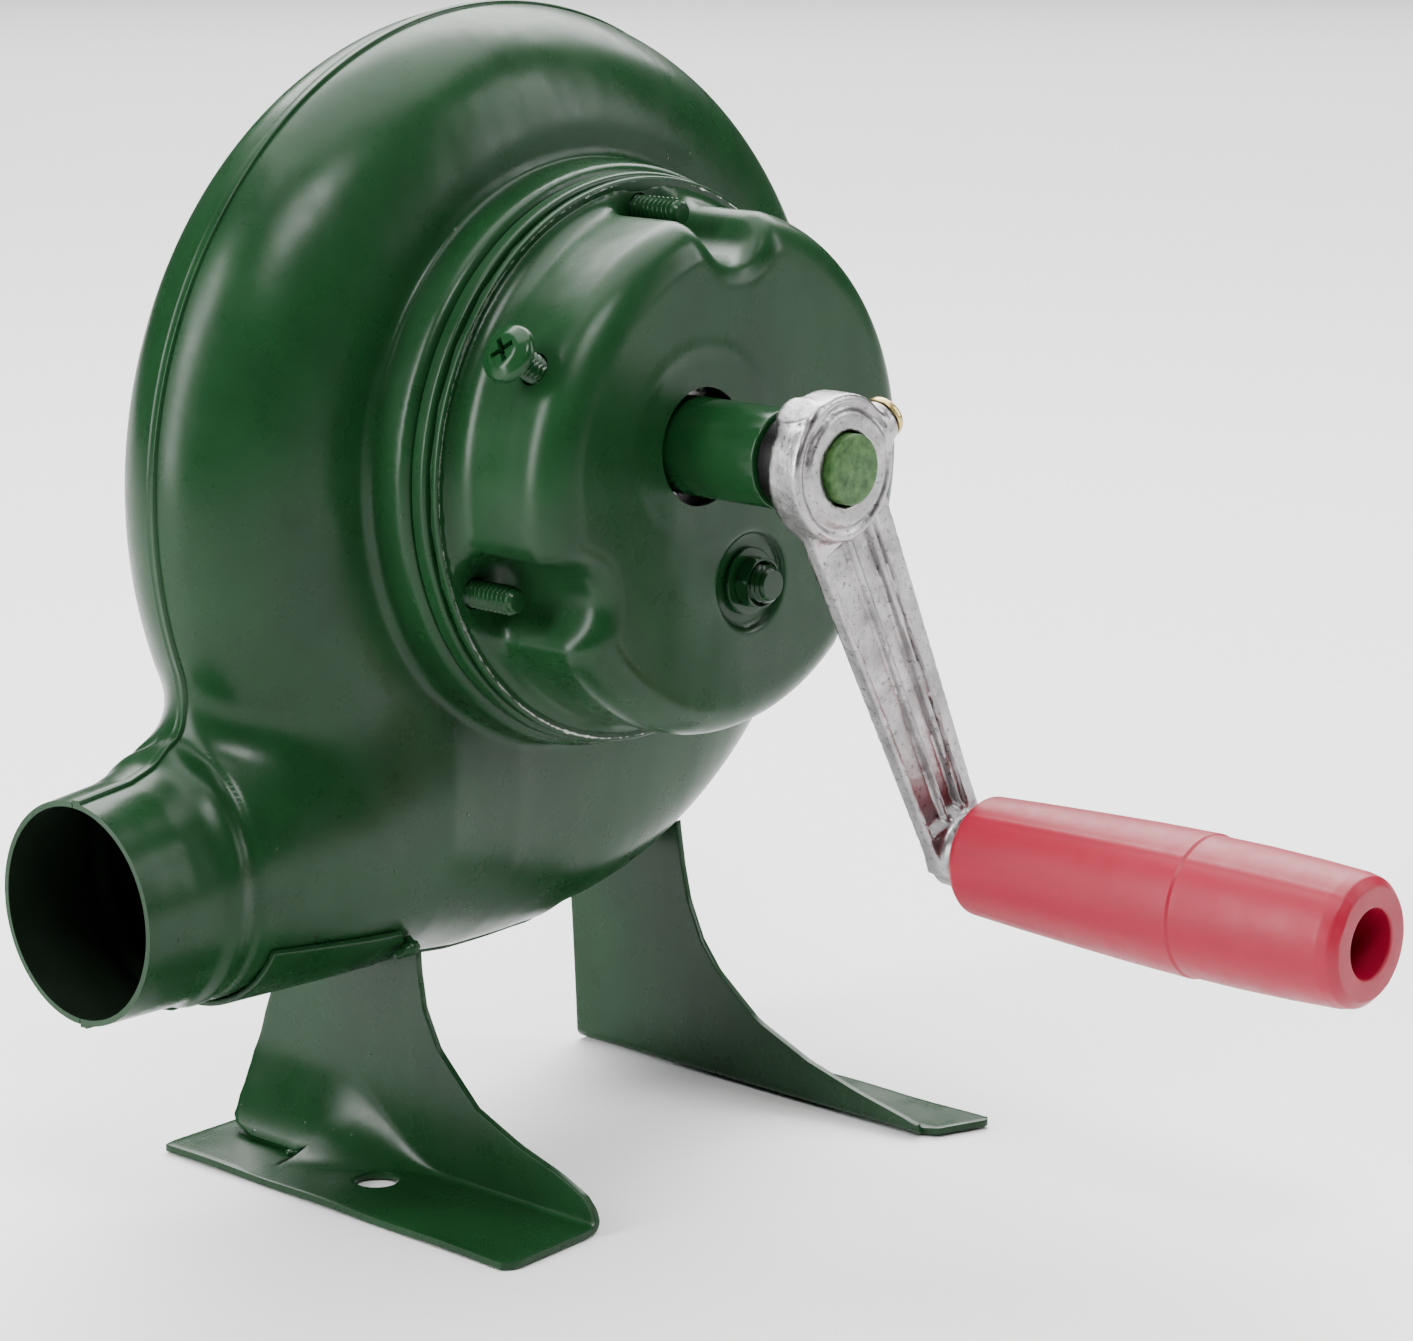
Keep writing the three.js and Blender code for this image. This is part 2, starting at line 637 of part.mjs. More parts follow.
function gear(teeth, addendum, phase, bore, yFrom, yTo) {
  const outline = gearOutline(teeth, addendum, phase);
  const hole = new THREE.Path();
  hole.absarc(0, 0, bore, 0, 2 * Math.PI, true);
  outline.holes.push(hole);
  return plateXZ(outline, yFrom, yTo, ROUND / 2);
}

const WHEEL_ADDENDUM = 0.75;
const PINION_ADDENDUM = 0.95;
const direction = (from, to) => Math.atan2(to.z - from.z, to.x - from.x);

function addGears() {
  const fan = { x: 0, z: 0 };
  const crankPlace = { x: CRANK.x, z: CRANK.z };
  const gapAt = (angle, teeth) => angle + Math.PI / teeth;
  const { front, back } = DRIVE_GEAR_Y;
  const drivePhase = gapAt(direction(CRANK, IDLER), TEETH.drive);
  const drive = gear(TEETH.drive, WHEEL_ADDENDUM, drivePhase, CRANK.shaftRadius + GAP, front, back);
  node('drive_gear', drive, looks.steel(), crankPlace);

  const bore = PIN_RADIUS + RUNNING_GAP;
  const pinionPhase = direction(IDLER, CRANK);
  const pinion = gear(TEETH.idlerPinion, PINION_ADDENDUM, pinionPhase, bore, front - 0.5, back + 2.5);
  node('idler_pinion', pinion, looks.steel(), IDLER);
  const wheelPhase = direction(IDLER, fan);
  const { front: wheelFront, back: wheelBack } = IDLER_GEAR_Y;
  const wheel = gear(TEETH.idler, WHEEL_ADDENDUM, wheelPhase, bore, wheelFront, wheelBack);
  node('idler_gear', wheel, looks.steel(), IDLER);

  const fanPhase = gapAt(direction(fan, IDLER), TEETH.impellerPinion);
  const fanBore = IMPELLER.shaftRadius - 1 + GAP;
  const fanPinion = gear(TEETH.impellerPinion, PINION_ADDENDUM, fanPhase, fanBore, wheelFront - 0.5, wheelBack + 1);
  node('impeller_pinion', fanPinion, looks.steel());
}

function addIdlerStud() {
  const tip = -DRUM.faceDepth - 6;
  const stud = turned([
    [0, plateBackFace + 2.5],
    [6, plateBackFace + 2.5],
    [6, plateBackFace + GAP],
    [PIN_RADIUS, plateBackFace + GAP],
    [PIN_RADIUS, tip + 1],
    [PIN_RADIUS - 0.8, tip],
    [0, tip],
  ]);
  node('idler_stud', stud, looks.steel(), IDLER);

  const washerSeat = -DRUM.faceDepth + DIMPLE.depth - GAP;
  const washer = bush(PIN_RADIUS + GAP, 7, washerSeat - 1, washerSeat);
  node('idler_stud_washer', washer, looks.paint(), IDLER);
  const nutShape = new THREE.Shape();
  const nutRadius = 5.8;
  for (let corner = 0; corner < 6; corner += 1) {
    const angle = (corner * Math.PI) / 3 + 0.3;
    const point = [nutRadius * Math.cos(angle), nutRadius * Math.sin(angle)];
    if (corner === 0) nutShape.moveTo(...point);
    else nutShape.lineTo(...point);
  }
  nutShape.closePath();
  const hole = new THREE.Path();
  hole.absarc(0, 0, PIN_RADIUS + GAP, 0, 2 * Math.PI, true);
  nutShape.holes.push(hole);
  const nutSeat = washerSeat - 1 - GAP;
  node('idler_stud_nut', plateXZ(nutShape, nutSeat - 3, nutSeat, ROUND / 2), looks.paint(), IDLER);
}

// ---------------------------------------------------------------- crank and handle

const ARM_LENGTH = Math.hypot(HANDLE.x - CRANK.x, HANDLE.z - CRANK.z);
const ARM_ANGLE = Math.atan2(HANDLE.z - CRANK.z, HANDLE.x - CRANK.x);
const ARM = {
  hubHalfWidth: 12,
  endHalfWidth: 8,
  front: -104.5,
  back: -100.6,
  rib: 1.6,
  web: 2,
  bossRadius: 7.8,
  bossFront: -108.4,
};

function addCrankShaft() {
  const { shaftRadius, journalRadius, shaftEnd } = CRANK;
  const shoulderY = DRIVE_GEAR_Y.back + 2;
  const shaft = turned([
    [0, shaftEnd],
    [shaftRadius - 0.5, shaftEnd],
    [shaftRadius, shaftEnd + 0.5],
    [shaftRadius, shoulderY],
    [journalRadius, shoulderY],
    [journalRadius, -29],
    [0, -29],
  ]);
  node('crank_shaft', shaft, looks.paint(), { x: CRANK.x, z: CRANK.z });
  const spacer = bush(shaftRadius + GAP, 9.2, CRANK.hubBack + GAP, CRANK.sleeveEnd - GAP);
  node('crank_spacer', spacer, looks.blackOxide(), { x: CRANK.x, z: CRANK.z });
}

// Outline of the crank arm along +X, from the hub to the handle boss.
function armOutline(shrink) {
  const { hubHalfWidth, endHalfWidth } = ARM;
  const shape = new THREE.Shape();
  shape.moveTo(0, -hubHalfWidth + shrink);
  shape.lineTo(ARM_LENGTH, -endHalfWidth + shrink);
  shape.lineTo(ARM_LENGTH, endHalfWidth - shrink);
  shape.lineTo(0, hubHalfWidth - shrink);
  shape.closePath();
  return shape;
}

// The trough on one side of the arm's middle ridge.
function armPocket(side) {
  const inner = 1.6;
  const from = CRANK.hubRadius + 3;
  const to = ARM_LENGTH - ARM.bossRadius - 3;
  const halfWidth = (x) => THREE.MathUtils.lerp(ARM.hubHalfWidth, ARM.endHalfWidth, x / ARM_LENGTH) - ARM.rib;
  const shape = new THREE.Shape();
  shape.moveTo(from, side * inner);
  shape.lineTo(to, side * inner);
  shape.lineTo(to, side * halfWidth(to));
  shape.lineTo(from, side * halfWidth(from));
  shape.closePath();
  return shape;
}

function addCrankArm() {
  const { front, back, bossRadius, bossFront, web } = ARM;
  const blank = addAll([
    toSolid(plateXZ(armOutline(0), front, back)),
    toSolid(bar(CRANK.hubRadius, CRANK.hubFront, CRANK.hubBack, { sides: 32 })),
    toSolid(bar(11.4, CRANK.hubFront - 0.6, CRANK.hubFront + 1, { sides: 32 })),
    toSolid(bar(bossRadius, bossFront, back, { x: ARM_LENGTH })),
  ]);
  const pockets = [-1, 1].map((side) => toSolid(plateXZ(armPocket(side), front - 1, back - web)));
  const bores = [
    toSolid(bar(CRANK.shaftRadius + GAP, -FAR, FAR)),
    toSolid(bar(PIN_RADIUS + GAP, -FAR, FAR, { x: ARM_LENGTH })),
  ];
  const turnArm = (geometry) => geometry.rotateY(-ARM_ANGLE);
  const screwBoss = toSolid(setScrewBar(4.6, 10, CRANK.hubRadius + 2.2));
  const screwHole = toSolid(setScrewBar(2.5 + GAP, 5, FAR));
  const arm = toSolid(turnArm(toGeometry(subtractAll(blank, pockets)))).add(screwBoss);
  const turnedBores = bores.map((bore) => toSolid(turnArm(toGeometry(bore))));
  const done = subtractAll(arm, [...turnedBores, screwHole]);
  node('crank_arm', toGeometry(done), looks.aluminium(), { x: CRANK.x, z: CRANK.z });
}

const SET_SCREW = { angle: 26, y: -103.5 };

// A bar along the radius of the hub on which the set screw lies.
function setScrewBar(radius, from, to) {
  const geometry = new THREE.CylinderGeometry(radius, radius, to - from, COARSE);
  geometry.rotateZ(-Math.PI / 2).translate((from + to) / 2, 0, 0);
  return geometry.rotateY(-radians(SET_SCREW.angle)).translate(0, SET_SCREW.y, 0);
}

function addSetScrew() {
  const seat = CRANK.hubRadius + 2.2 + GAP;
  const screw = toSolid(setScrewBar(2.5, CRANK.shaftRadius + GAP, seat + 1))
    .add(toSolid(setScrewBar(4.2, seat, seat + 2.6)));
  node('crank_set_screw', toGeometry(screw), looks.zinc(), { x: CRANK.x, z: CRANK.z });
}

const pinHeadSeat = HANDLE.end + HANDLE.boreDepth;

function addHandle() {
  const pin = turned([
    [0, pinHeadSeat - GAP - 4],
    [6, pinHeadSeat - GAP - 4],
    [6, pinHeadSeat - GAP],
    [PIN_RADIUS, pinHeadSeat - GAP],
    [PIN_RADIUS, ARM.back + 1],
    [0, ARM.back + 1],
  ]);
  node('handle_pin', pin, looks.steel(), { x: HANDLE.x, z: HANDLE.z });

  const { radius, start, end, boreRadius } = HANDLE;
  const length = start - end;
  const mouldStep = start - length * 0.6;
  const grip = turned([
    [PIN_RADIUS + GAP, start],
    [radius - 4, start],
    [radius - 2.3, start - 1.5],
    [radius - 0.9, start - length * 0.25],
    [radius, mouldStep + 0.3],
    [radius - 0.4, mouldStep - 0.3],
    [radius - 1.1, end + length * 0.15],
    [radius - 1.9, end + 3],
    [radius - 3.8, end],
    [boreRadius, end],
    [boreRadius, pinHeadSeat],
    [PIN_RADIUS + GAP, pinHeadSeat],
  ], 24);
  node('handle_grip', grip, looks.red(), { x: HANDLE.x, z: HANDLE.z });
}

// ---------------------------------------------------------------- impeller

function addImpeller() {
  const { shaftRadius, discRadius, discY } = IMPELLER;
  const pinionSeat = IDLER_GEAR_Y.back + 1 + GAP;
  const hubFrontY = discY + 12;
  const shaft = turned([
    [0, IDLER_GEAR_Y.front - 1.5],
    [shaftRadius - 1, IDLER_GEAR_Y.front - 1.5],
    [shaftRadius - 1, pinionSeat],
    [shaftRadius, pinionSeat],
    [shaftRadius, hubFrontY + 9],
    [0, hubFrontY + 9],
  ]);
  node('impeller_shaft', shaft, looks.steel());
  const discBore = 9;
  const disc = turned([
    [discBore + GAP, discY],
    [discRadius, discY],
    [discRadius, discY + SHEET],
    [discBore + GAP, discY + SHEET],
  ], FINE);
  node('impeller_disc', disc, looks.steel());
  const hub = turned([
    [shaftRadius + GAP, discY - 5],
    [13, discY - 5],
    [13, discY - GAP],
    [discBore, discY - GAP],
    [discBore, hubFrontY],
    [shaftRadius + GAP, hubFrontY],
  ]);
  node('impeller_hub', hub, looks.steel());
  node('impeller_nut', bush(shaftRadius + GAP, 6.5, hubFrontY + GAP, hubFrontY + 4.5), looks.steel());

  for (let i = 0; i < BLADE_COUNT; i += 1) {
    const place = { turn: (i * 2 * Math.PI) / BLADE_COUNT };
    node(`impeller_blade_${i + 1}`, impellerBlade(), looks.steel(), place);
  }
}

// A slightly curved blade that stands on the disc, drawn along +X.
function impellerBlade() {
  const { bladeInner, bladeOuter, bladeTop, discY } = IMPELLER;
  const sweep = 5;
  const shape = new THREE.Shape();
  const middle = (bladeInner + bladeOuter) / 2;
  shape.moveTo(bladeInner, 0);
  shape.quadraticCurveTo(middle, 0, bladeOuter, -sweep);
  shape.lineTo(bladeOuter, -sweep + SHEET);
  shape.quadraticCurveTo(middle, SHEET, bladeInner, SHEET);
  shape.closePath();
  return plateXZ(shape, discY + SHEET + GAP, bladeTop);
}

// ---------------------------------------------------------------- feet

const floorZ = -GROUND_BELOW_AXIS;

// A web: straight at the back, with its front edge curving down to the toe.
function webOutline({ backY, frontY }, edge) {
  const shape = new THREE.Shape();
  shape.moveTo(backY + 2.5, floorZ);
  shape.lineTo(backY - 4, edge[0][1]);
  edge.forEach((point) => shape.lineTo(...point));
  shape.lineTo(frontY + 1.5, floorZ);
  shape.closePath();
  return shape;
}

// The foot's flat sole, from the web outwards, with cut corners at its front end.
function soleOutline({ x, flangeEnd, backY, frontY }) {
  const outward = Math.sign(flangeEnd - x);
  const shape = new THREE.Shape();
  shape.moveTo(x, backY + 4);
  shape.lineTo(flangeEnd - outward * 1.5, backY + 4);
  shape.lineTo(flangeEnd, backY + 1);
  shape.lineTo(flangeEnd, frontY + 8);
  shape.lineTo(flangeEnd - outward * 5, frontY);
  shape.lineTo(x, frontY);
  shape.closePath();
  return shape;
}

function soleSolid(foot) {
  const geometry = new THREE.ExtrudeGeometry(soleOutline(foot), { depth: FOOT_SHEET, bevelEnabled: false });
  return toSolid(outwards(geometry.translate(0, 0, floorZ)));
}

const casingClearance = casingSolid(-GAP);

function addFrontFoot() {
  const { x } = FRONT_FOOT;
  const web = toSolid(plateYZ(webOutline(FRONT_FOOT, FRONT_WEB_EDGE), x, x + FOOT_SHEET));
  const saddle = casingSolid(-GAP - SADDLE.sheet).intersect(toSolid(box(
    [SADDLE.fromX, SADDLE.front, -FAR],
    [SADDLE.toX, SADDLE.back, -86],
  )));
  const boltHole = toSolid(new THREE.CylinderGeometry(BOLT_HOLE.radius, BOLT_HOLE.radius, 20, ROUND)
    .rotateX(Math.PI / 2)
    .translate(BOLT_HOLE.x, BOLT_HOLE.y, floorZ));
  const foot = subtractAll(addAll([web, soleSolid(FRONT_FOOT), saddle]), [
    casingClearance,
    boltHole,
  ]);
  node('front_foot', toGeometry(foot), looks.paint());
}

function addRearFoot() {
  const { x } = REAR_FOOT;
  const web = toSolid(plateYZ(webOutline(REAR_FOOT, REAR_WEB_EDGE), x - FOOT_SHEET, x));
  const foot = web.add(soleSolid(REAR_FOOT)).subtract(casingClearance);
  node('rear_foot', toGeometry(foot), looks.paint());
}

// ---------------------------------------------------------------- assembly

addCasing();
addIntakeCover();
addIntakeScrews();
addBackPlate();
addBaseRing();
addGasket();
addGearboxCover();
addGearboxScrews();
addOilFillerScrew();
addBushes();
addIdlerStud();
addGears();
addCrankShaft();
addCrankArm();
addSetScrew();
addHandle();
addImpeller();
addFrontFoot();
addRearFoot();

// Stand the blower on z = 0 with the middle of its footprint at the origin.
const group = new THREE.Group();
group.add(part);
const bounds = new THREE.Box3().setFromObject(part);
part.position.set(
  -(bounds.min.x + bounds.max.x) / 2,
  -(bounds.min.y + bounds.max.y) / 2,
  -bounds.min.z,
);
group.updateMatrixWorld(true);

export default group;
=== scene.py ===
import math

import bmesh
import bpy
import numpy as np
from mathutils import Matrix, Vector


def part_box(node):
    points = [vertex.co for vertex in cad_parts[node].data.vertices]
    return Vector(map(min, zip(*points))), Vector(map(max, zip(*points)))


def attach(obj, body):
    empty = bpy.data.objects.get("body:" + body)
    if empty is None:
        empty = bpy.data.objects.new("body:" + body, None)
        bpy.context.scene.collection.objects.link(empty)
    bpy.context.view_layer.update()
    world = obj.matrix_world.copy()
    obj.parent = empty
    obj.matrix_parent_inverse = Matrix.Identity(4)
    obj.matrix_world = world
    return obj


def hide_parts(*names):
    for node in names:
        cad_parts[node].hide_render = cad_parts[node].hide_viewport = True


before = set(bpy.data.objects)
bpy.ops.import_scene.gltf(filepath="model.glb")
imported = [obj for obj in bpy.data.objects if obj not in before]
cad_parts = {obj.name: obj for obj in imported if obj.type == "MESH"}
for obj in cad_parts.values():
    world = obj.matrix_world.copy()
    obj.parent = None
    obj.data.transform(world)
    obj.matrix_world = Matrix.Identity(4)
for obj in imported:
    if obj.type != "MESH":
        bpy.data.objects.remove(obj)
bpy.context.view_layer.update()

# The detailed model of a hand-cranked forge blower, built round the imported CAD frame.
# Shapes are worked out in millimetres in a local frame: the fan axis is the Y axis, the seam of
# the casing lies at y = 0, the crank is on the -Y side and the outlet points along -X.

MM = 0.001


# ---------------------------------------------------------------- places read from the frame

def box_mid(node):
    low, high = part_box(node)
    return (Vector(low) + Vector(high)) / 2


def seam_y():
    return (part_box("crank_side_shell")[1][1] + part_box("intake_side_shell")[0][1]) / 2


FAN = box_mid("impeller_disc")
ORIGIN = Vector((FAN.x, seam_y(), FAN.z))


def local(point):
    """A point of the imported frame, in local millimetres."""
    return (Vector(point) - ORIGIN) / MM


def node_box(node):
    low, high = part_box(node)
    return local(low), local(high)


def axis_of(node):
    """The place in x and z of a node that is round about Y."""
    low, high = node_box(node)
    return (low.x + high.x) / 2, (low.z + high.z) / 2


CRANK_X, CRANK_Z = axis_of("crank_shaft")
HANDLE_X, HANDLE_Z = axis_of("handle_grip")
IDLER_X, IDLER_Z = axis_of("idler_stud")
FLOOR_Z = node_box("front_foot")[0].z

# ---------------------------------------------------------------- driving dimensions

SHEET = 1.2
SEAM_GAP = 0.3
VOLUTE_RADIUS = 95.5
VOLUTE_SHIFT = (-1.2, -3.4)
CREST_RADIUS = 66.0          # where the bulge of the casing is deepest
CRANK_BULGE = 25.0
INTAKE_BULGE = 23.6
COLLAR_RADIUS = 61.0
COLLAR_DEPTH = 35.5
RECESS_RADIUS = 64.5
INTAKE_DEPTH = 21.6
SPIRAL_GROWTH = 6.8          # how far the rim grows towards the outlet
SPIRAL_ANGLES = (40.0, -88.0, -155.0)
INTAKE_HOLE = 48.5
GEAR_OPENING = 34.0
FILLET = 7.0                 # blend between the snail and its outlet duct
SEAM_FILLET = 9.0            # how much wider that blend is near the seam
SEAM_FILLET_REACH = 9.0

MOUTH_X = -118.1
PIPE_RADIUS = 22.5
DUCT_X = (-126.0, -118.1, -105.0, -96.0, -90.0, -80.0, -60.0, -40.0, -20.0, 0.0)
DUCT_BOTTOM = (-102.7, -102.7, -102.9, -103.1, -103.2, -103.5, -104.2, -104.6, -104.3, -101.0)
DUCT_TOP = (-57.2, -57.2, -55.6, -52.6, -49.6, -44.5, -39.0, -36.0, -36.0, -36.0)
DUCT_HALF = (22.5, 22.5, 22.5, 22.7, 23.3, 24.4, 25.5, 25.5, 22.5, 17.0)
BEAD_X = -95.6
BEAD_HEIGHT = 1.1
BEAD_SPREAD = 2.4
STEP_X = (-91.4, -90.2)      # the pipe steps out behind its bead
STEP_HEIGHT = 0.8

SCREW_CIRCLE = 52.3
SCREW_HOLE = 3.3
STUD_HOLE = 4.3
INTAKE_SCREW_CIRCLE = 56.0
INTAKE_SCREW_ANGLES = (150.0, 270.0, 30.0)
OIL_ANGLE = 151.0
OIL_Y = -58.0
DRUM_RADIUS = 54.0
DRUM_FACE = -70.0
DRUM_SHOULDER = 8.5
FLANGE_RADIUS = 58.8

CASING_CELL = 0.9
CAST_CELL = 0.55


# ---------------------------------------------------------------- mesh helpers

def add_mesh(name, vertices, faces, material, body, nodes=()):
    """A new piece from local millimetres, which rides on a body and may stand for CAD nodes."""
    mesh = bpy.data.meshes.new(name)
    placed = np.asarray(vertices, dtype=float) * MM + np.array(ORIGIN)
    mesh.from_pydata(placed.tolist(), [], [tuple(int(i) for i in face) for face in faces])
    mesh.validate()
    mesh.update()
    piece = bpy.data.objects.new(name, mesh)
    bpy.context.scene.collection.objects.link(piece)
    face_outwards(piece)
    mesh.polygons.foreach_set("use_smooth", [True] * len(mesh.polygons))
    mesh.materials.append(material)
    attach(piece, body)
    if nodes:
        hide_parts(*nodes)
    return piece


def face_outwards(piece):
    work = bmesh.new()
    work.from_mesh(piece.data)
    bmesh.ops.recalc_face_normals(work, faces=work.faces)
    work.to_mesh(piece.data)
    work.free()


def apply_modifiers(piece):
    bpy.context.view_layer.update()
    graph = bpy.context.evaluated_depsgraph_get()
    mesh = bpy.data.meshes.new_from_object(piece.evaluated_get(graph))
    piece.modifiers.clear()
    old = piece.data
    piece.data = mesh
    bpy.data.meshes.remove(old)


def sharpen(piece, degrees=35.0):
    """Smooth shading that stays crisp where faces meet at more than an angle."""
    mesh = piece.data
    mesh.polygons.foreach_set("use_smooth", [True] * len(mesh.polygons))
    mesh.set_sharp_from_angle(angle=math.radians(degrees))


def crisp_piece(name, shape, finish, nodes=(), body="housing", degrees=35.0):
    """A new piece from (vertices, faces), smooth but for edges above an angle."""
    vertices, faces = shape
    piece = add_mesh(name, vertices, faces, MATERIAL[finish], body, nodes)
    sharpen(piece, degrees)


def bevelled(piece, width=0.3, degrees=50.0):
    bevel(piece, width, 2, degrees)
    apply_modifiers(piece)


def bevel(piece, width, segments, degrees):
    modifier = piece.modifiers.new("bevel", "BEVEL")
    modifier.width = width * MM
    modifier.segments = segments
    modifier.limit_method = "ANGLE"
    modifier.angle_limit = math.radians(degrees)
    modifier.harden_normals = False


def thicken(piece, thickness, offset=-1.0, even=True, inside=0):
    """Gives a sheet its thickness. The inside can use a later material of the piece."""
    modifier = piece.modifiers.new("thickness", "SOLIDIFY")
    modifier.thickness = thickness * MM
    modifier.offset = offset
    modifier.use_even_offset = even
    modifier.material_offset = inside


def cut(piece, cutters):
    """Boolean difference with temporary meshes, which are then removed."""
    for cutter in cutters:
        modifier = piece.modifiers.new("cut", "BOOLEAN")
        modifier.operation = "DIFFERENCE"
        modifier.solver = "EXACT"
        modifier.object = cutter
    apply_modifiers(piece)
    for cutter in cutters:
        mesh = cutter.data
        bpy.data.objects.remove(cutter)
        bpy.data.meshes.remove(mesh)


def cutter_mesh(vertices, faces):
    mesh = bpy.data.meshes.new("cutter")
    placed = np.asarray(vertices, dtype=float) * MM + np.array(ORIGIN)
    mesh.from_pydata(placed.tolist(), [], [tuple(int(i) for i in face) for face in faces])
    cutter = bpy.data.objects.new("cutter", mesh)
    bpy.context.scene.collection.objects.link(cutter)
    face_outwards(cutter)
    return cutter


def bore_cutter(radius, ends, centre=(0.0, 0.0), sides=48):
    return cutter_mesh(*capped_lathe([(radius, ends[0]), (radius, ends[1])], sides, centre))


def rounded(points, radii, steps=5):
    """The polyline through points with its corners rounded by the given radii."""
    path = [points[0]]
    for before, corner, after, radius in zip(points, points[1:], points[2:], radii):
        if not radius:
            path.append(corner)
            continue
        a = Vector(before) - Vector(corner)
        b = Vector(after) - Vector(corner)
        half = a.angle(b) / 2
        reach = min(radius / math.tan(half), a.length * 0.49, b.length * 0.49)
        start = Vector(corner) + a.normalized() * reach
        end = Vector(corner) + b.normalized() * reach
        for step in range(steps + 1):
            t = step / steps
            point = start.lerp(Vector(corner), t).lerp(Vector(corner).lerp(end, t), t)
            path.append(tuple(point))
    path.append(points[-1])
    return path


def lathe(profile, sides, centre=(0.0, 0.0), closed=True):
    """Vertices and faces of (radius, y) pairs turned about the Y axis at a centre in x and z."""
    vertices = []
    for radius, y in profile:
        for side in range(sides):
            angle = 2 * math.pi * side / sides
            vertices.append((
                centre[0] + radius * math.cos(angle),
                y,
                centre[1] + radius * math.sin(angle),
            ))
    rows = len(profile)
    faces = []
    last = rows if closed else rows - 1
    for row in range(last):
        for side in range(sides):
            a = row * sides + side
            b = row * sides + (side + 1) % sides
            c = ((row + 1) % rows) * sides + (side + 1) % sides
            d = ((row + 1) % rows) * sides + side
            faces.append((a, b, c, d))
    return vertices, faces


def capped_lathe(profile, sides, centre=(0.0, 0.0)):
    """A lathe whose first and last rings are closed by a face."""
    vertices, faces = lathe(profile, sides, centre, closed=False)
    faces.append(tuple(range(sides)))
    last = (len(profile) - 1) * sides
    faces.append(tuple(last + side for side in range(sides)))
    return vertices, faces


def turned_to(vertices, degrees, y, centre=(0.0, 0.0)):
    """Turns a part built about the Y axis to lie along a radius of the drum, at an angle."""
    angle = math.radians(degrees)
    out = []
    for x, along, z in vertices:
        out.append((
            centre[0] + along * math.cos(angle) - z * math.sin(angle),
            y + x,
            centre[1] + along * math.sin(angle) + z * math.cos(angle),
        ))
    return out


# ---------------------------------------------------------------- implicit surfaces

def surface_net(field, low, high, cell):
    """Vertices and quads of the surface field = 0, one vertex in each grid cell it crosses."""
    axes = [np.arange(a, b + cell, cell, dtype=np.float32) for a, b in zip(low, high)]
    grid = np.stack(np.meshgrid(*axes, indexing="ij"), -1)
    shape = grid.shape[:3]
    value = np.concatenate([
        field(plane.reshape(-1, 3)).astype(np.float32) for plane in grid
    ]).reshape(shape)
    cells = tuple(n - 1 for n in shape)
    total = np.zeros(cells + (3,), dtype=np.float32)
    count = np.zeros(cells, dtype=np.float32)
    crossings = []
    for axis in range(3):
        lower = [slice(None)] * 3
        upper = [slice(None)] * 3
        lower[axis] = slice(0, -1)
        upper[axis] = slice(1, None)
        first, second = value[tuple(lower)], value[tuple(upper)]
        cross = (first < 0) != (second < 0)
        share = np.where(cross, first / np.where(cross, first - second, 1), 0)
        point = grid[tuple(lower)].copy()
        point[..., axis] += share * cell
        point *= cross[..., None]
        others = [k for k in range(3) if k != axis]
        for du in (0, 1):
            for dv in (0, 1):
                window = [slice(None)] * 3
                window[others[0]] = slice(du, du + cells[others[0]])
                window[others[1]] = slice(dv, dv + cells[others[1]])
                total += point[tuple(window)]
                count += cross[tuple(window)]
        crossings.append((axis, others, cross, first < 0))
    active = count > 0
    index = np.full(cells, -1, dtype=np.int64)
    index[active] = np.arange(active.sum())
    vertices = total[active] / count[active][:, None]
    faces = []
    for axis, (u, v), cross, starts_inside in crossings:
        inner = [slice(None)] * 3
        inner[u] = slice(1, cells[u])
        inner[v] = slice(1, cells[v])
        where = np.argwhere(cross[tuple(inner)])
        flip = starts_inside[tuple(inner)][cross[tuple(inner)]]
        where[:, u] += 1
        where[:, v] += 1
        corners = []
        for du, dv in ((-1, -1), (0, -1), (0, 0), (-1, 0)):
            at = where.copy()
            at[:, u] += du
            at[:, v] += dv
            corners.append(index[at[:, 0], at[:, 1], at[:, 2]])
        quads = np.stack(corners, 1)
        if axis == 1:
            flip = ~flip
        quads[flip] = quads[flip][:, ::-1]
        faces.append(quads)
    return vertices.astype(float), np.concatenate(faces)


def gradient(field, points, reach=0.05):
    slopes = []
    for axis in range(3):
        step = np.zeros(3)
        step[axis] = reach
        slopes.append((field(points + step) - field(points - step)) / (2 * reach))
    return np.stack(slopes, 1)


def onto_surface(field, points, steps=3):
    for _ in range(steps):
        slope = gradient(field, points)
        size = np.maximum((slope ** 2).sum(1), 0.05)
        points = points - slope * (field(points) / size)[:, None]
    return points


def relaxed(vertices, faces, rounds):
    """Moves each vertex towards the middle of its neighbours, for an even mesh."""
    edges = np.concatenate([faces[:, [k, (k + 1) % 4]] for k in range(4)])
    edges = np.concatenate([edges, edges[:, ::-1]])
    for _ in range(rounds):
        total = np.zeros_like(vertices)
        count = np.bincount(edges[:, 0], minlength=len(vertices)).astype(float)
        for axis in range(3):
            total[:, axis] = np.bincount(
                edges[:, 0], weights=vertices[edges[:, 1], axis], minlength=len(vertices))
        vertices = vertices * 0.4 + 0.6 * total / np.maximum(count, 1)[:, None]
    return vertices


def smooth_min(a, b, reach):
    h = np.clip(0.5 + 0.5 * (b - a) / reach, 0, 1)
    return b + (a - b) * h - reach * h * (1 - h)


def smooth_max(a, b, reach):
    return -smooth_min(-a, -b, reach)


def implicit_mesh(field, low, high, cell, rounds=3, polish=0):
    vertices, faces = surface_net(field, low, high, cell)
    vertices = onto_surface(field, vertices, 2)
    vertices = relaxed(vertices, faces, rounds)
    vertices = onto_surface(field, vertices, 3)
    return relaxed(vertices, faces, polish), faces


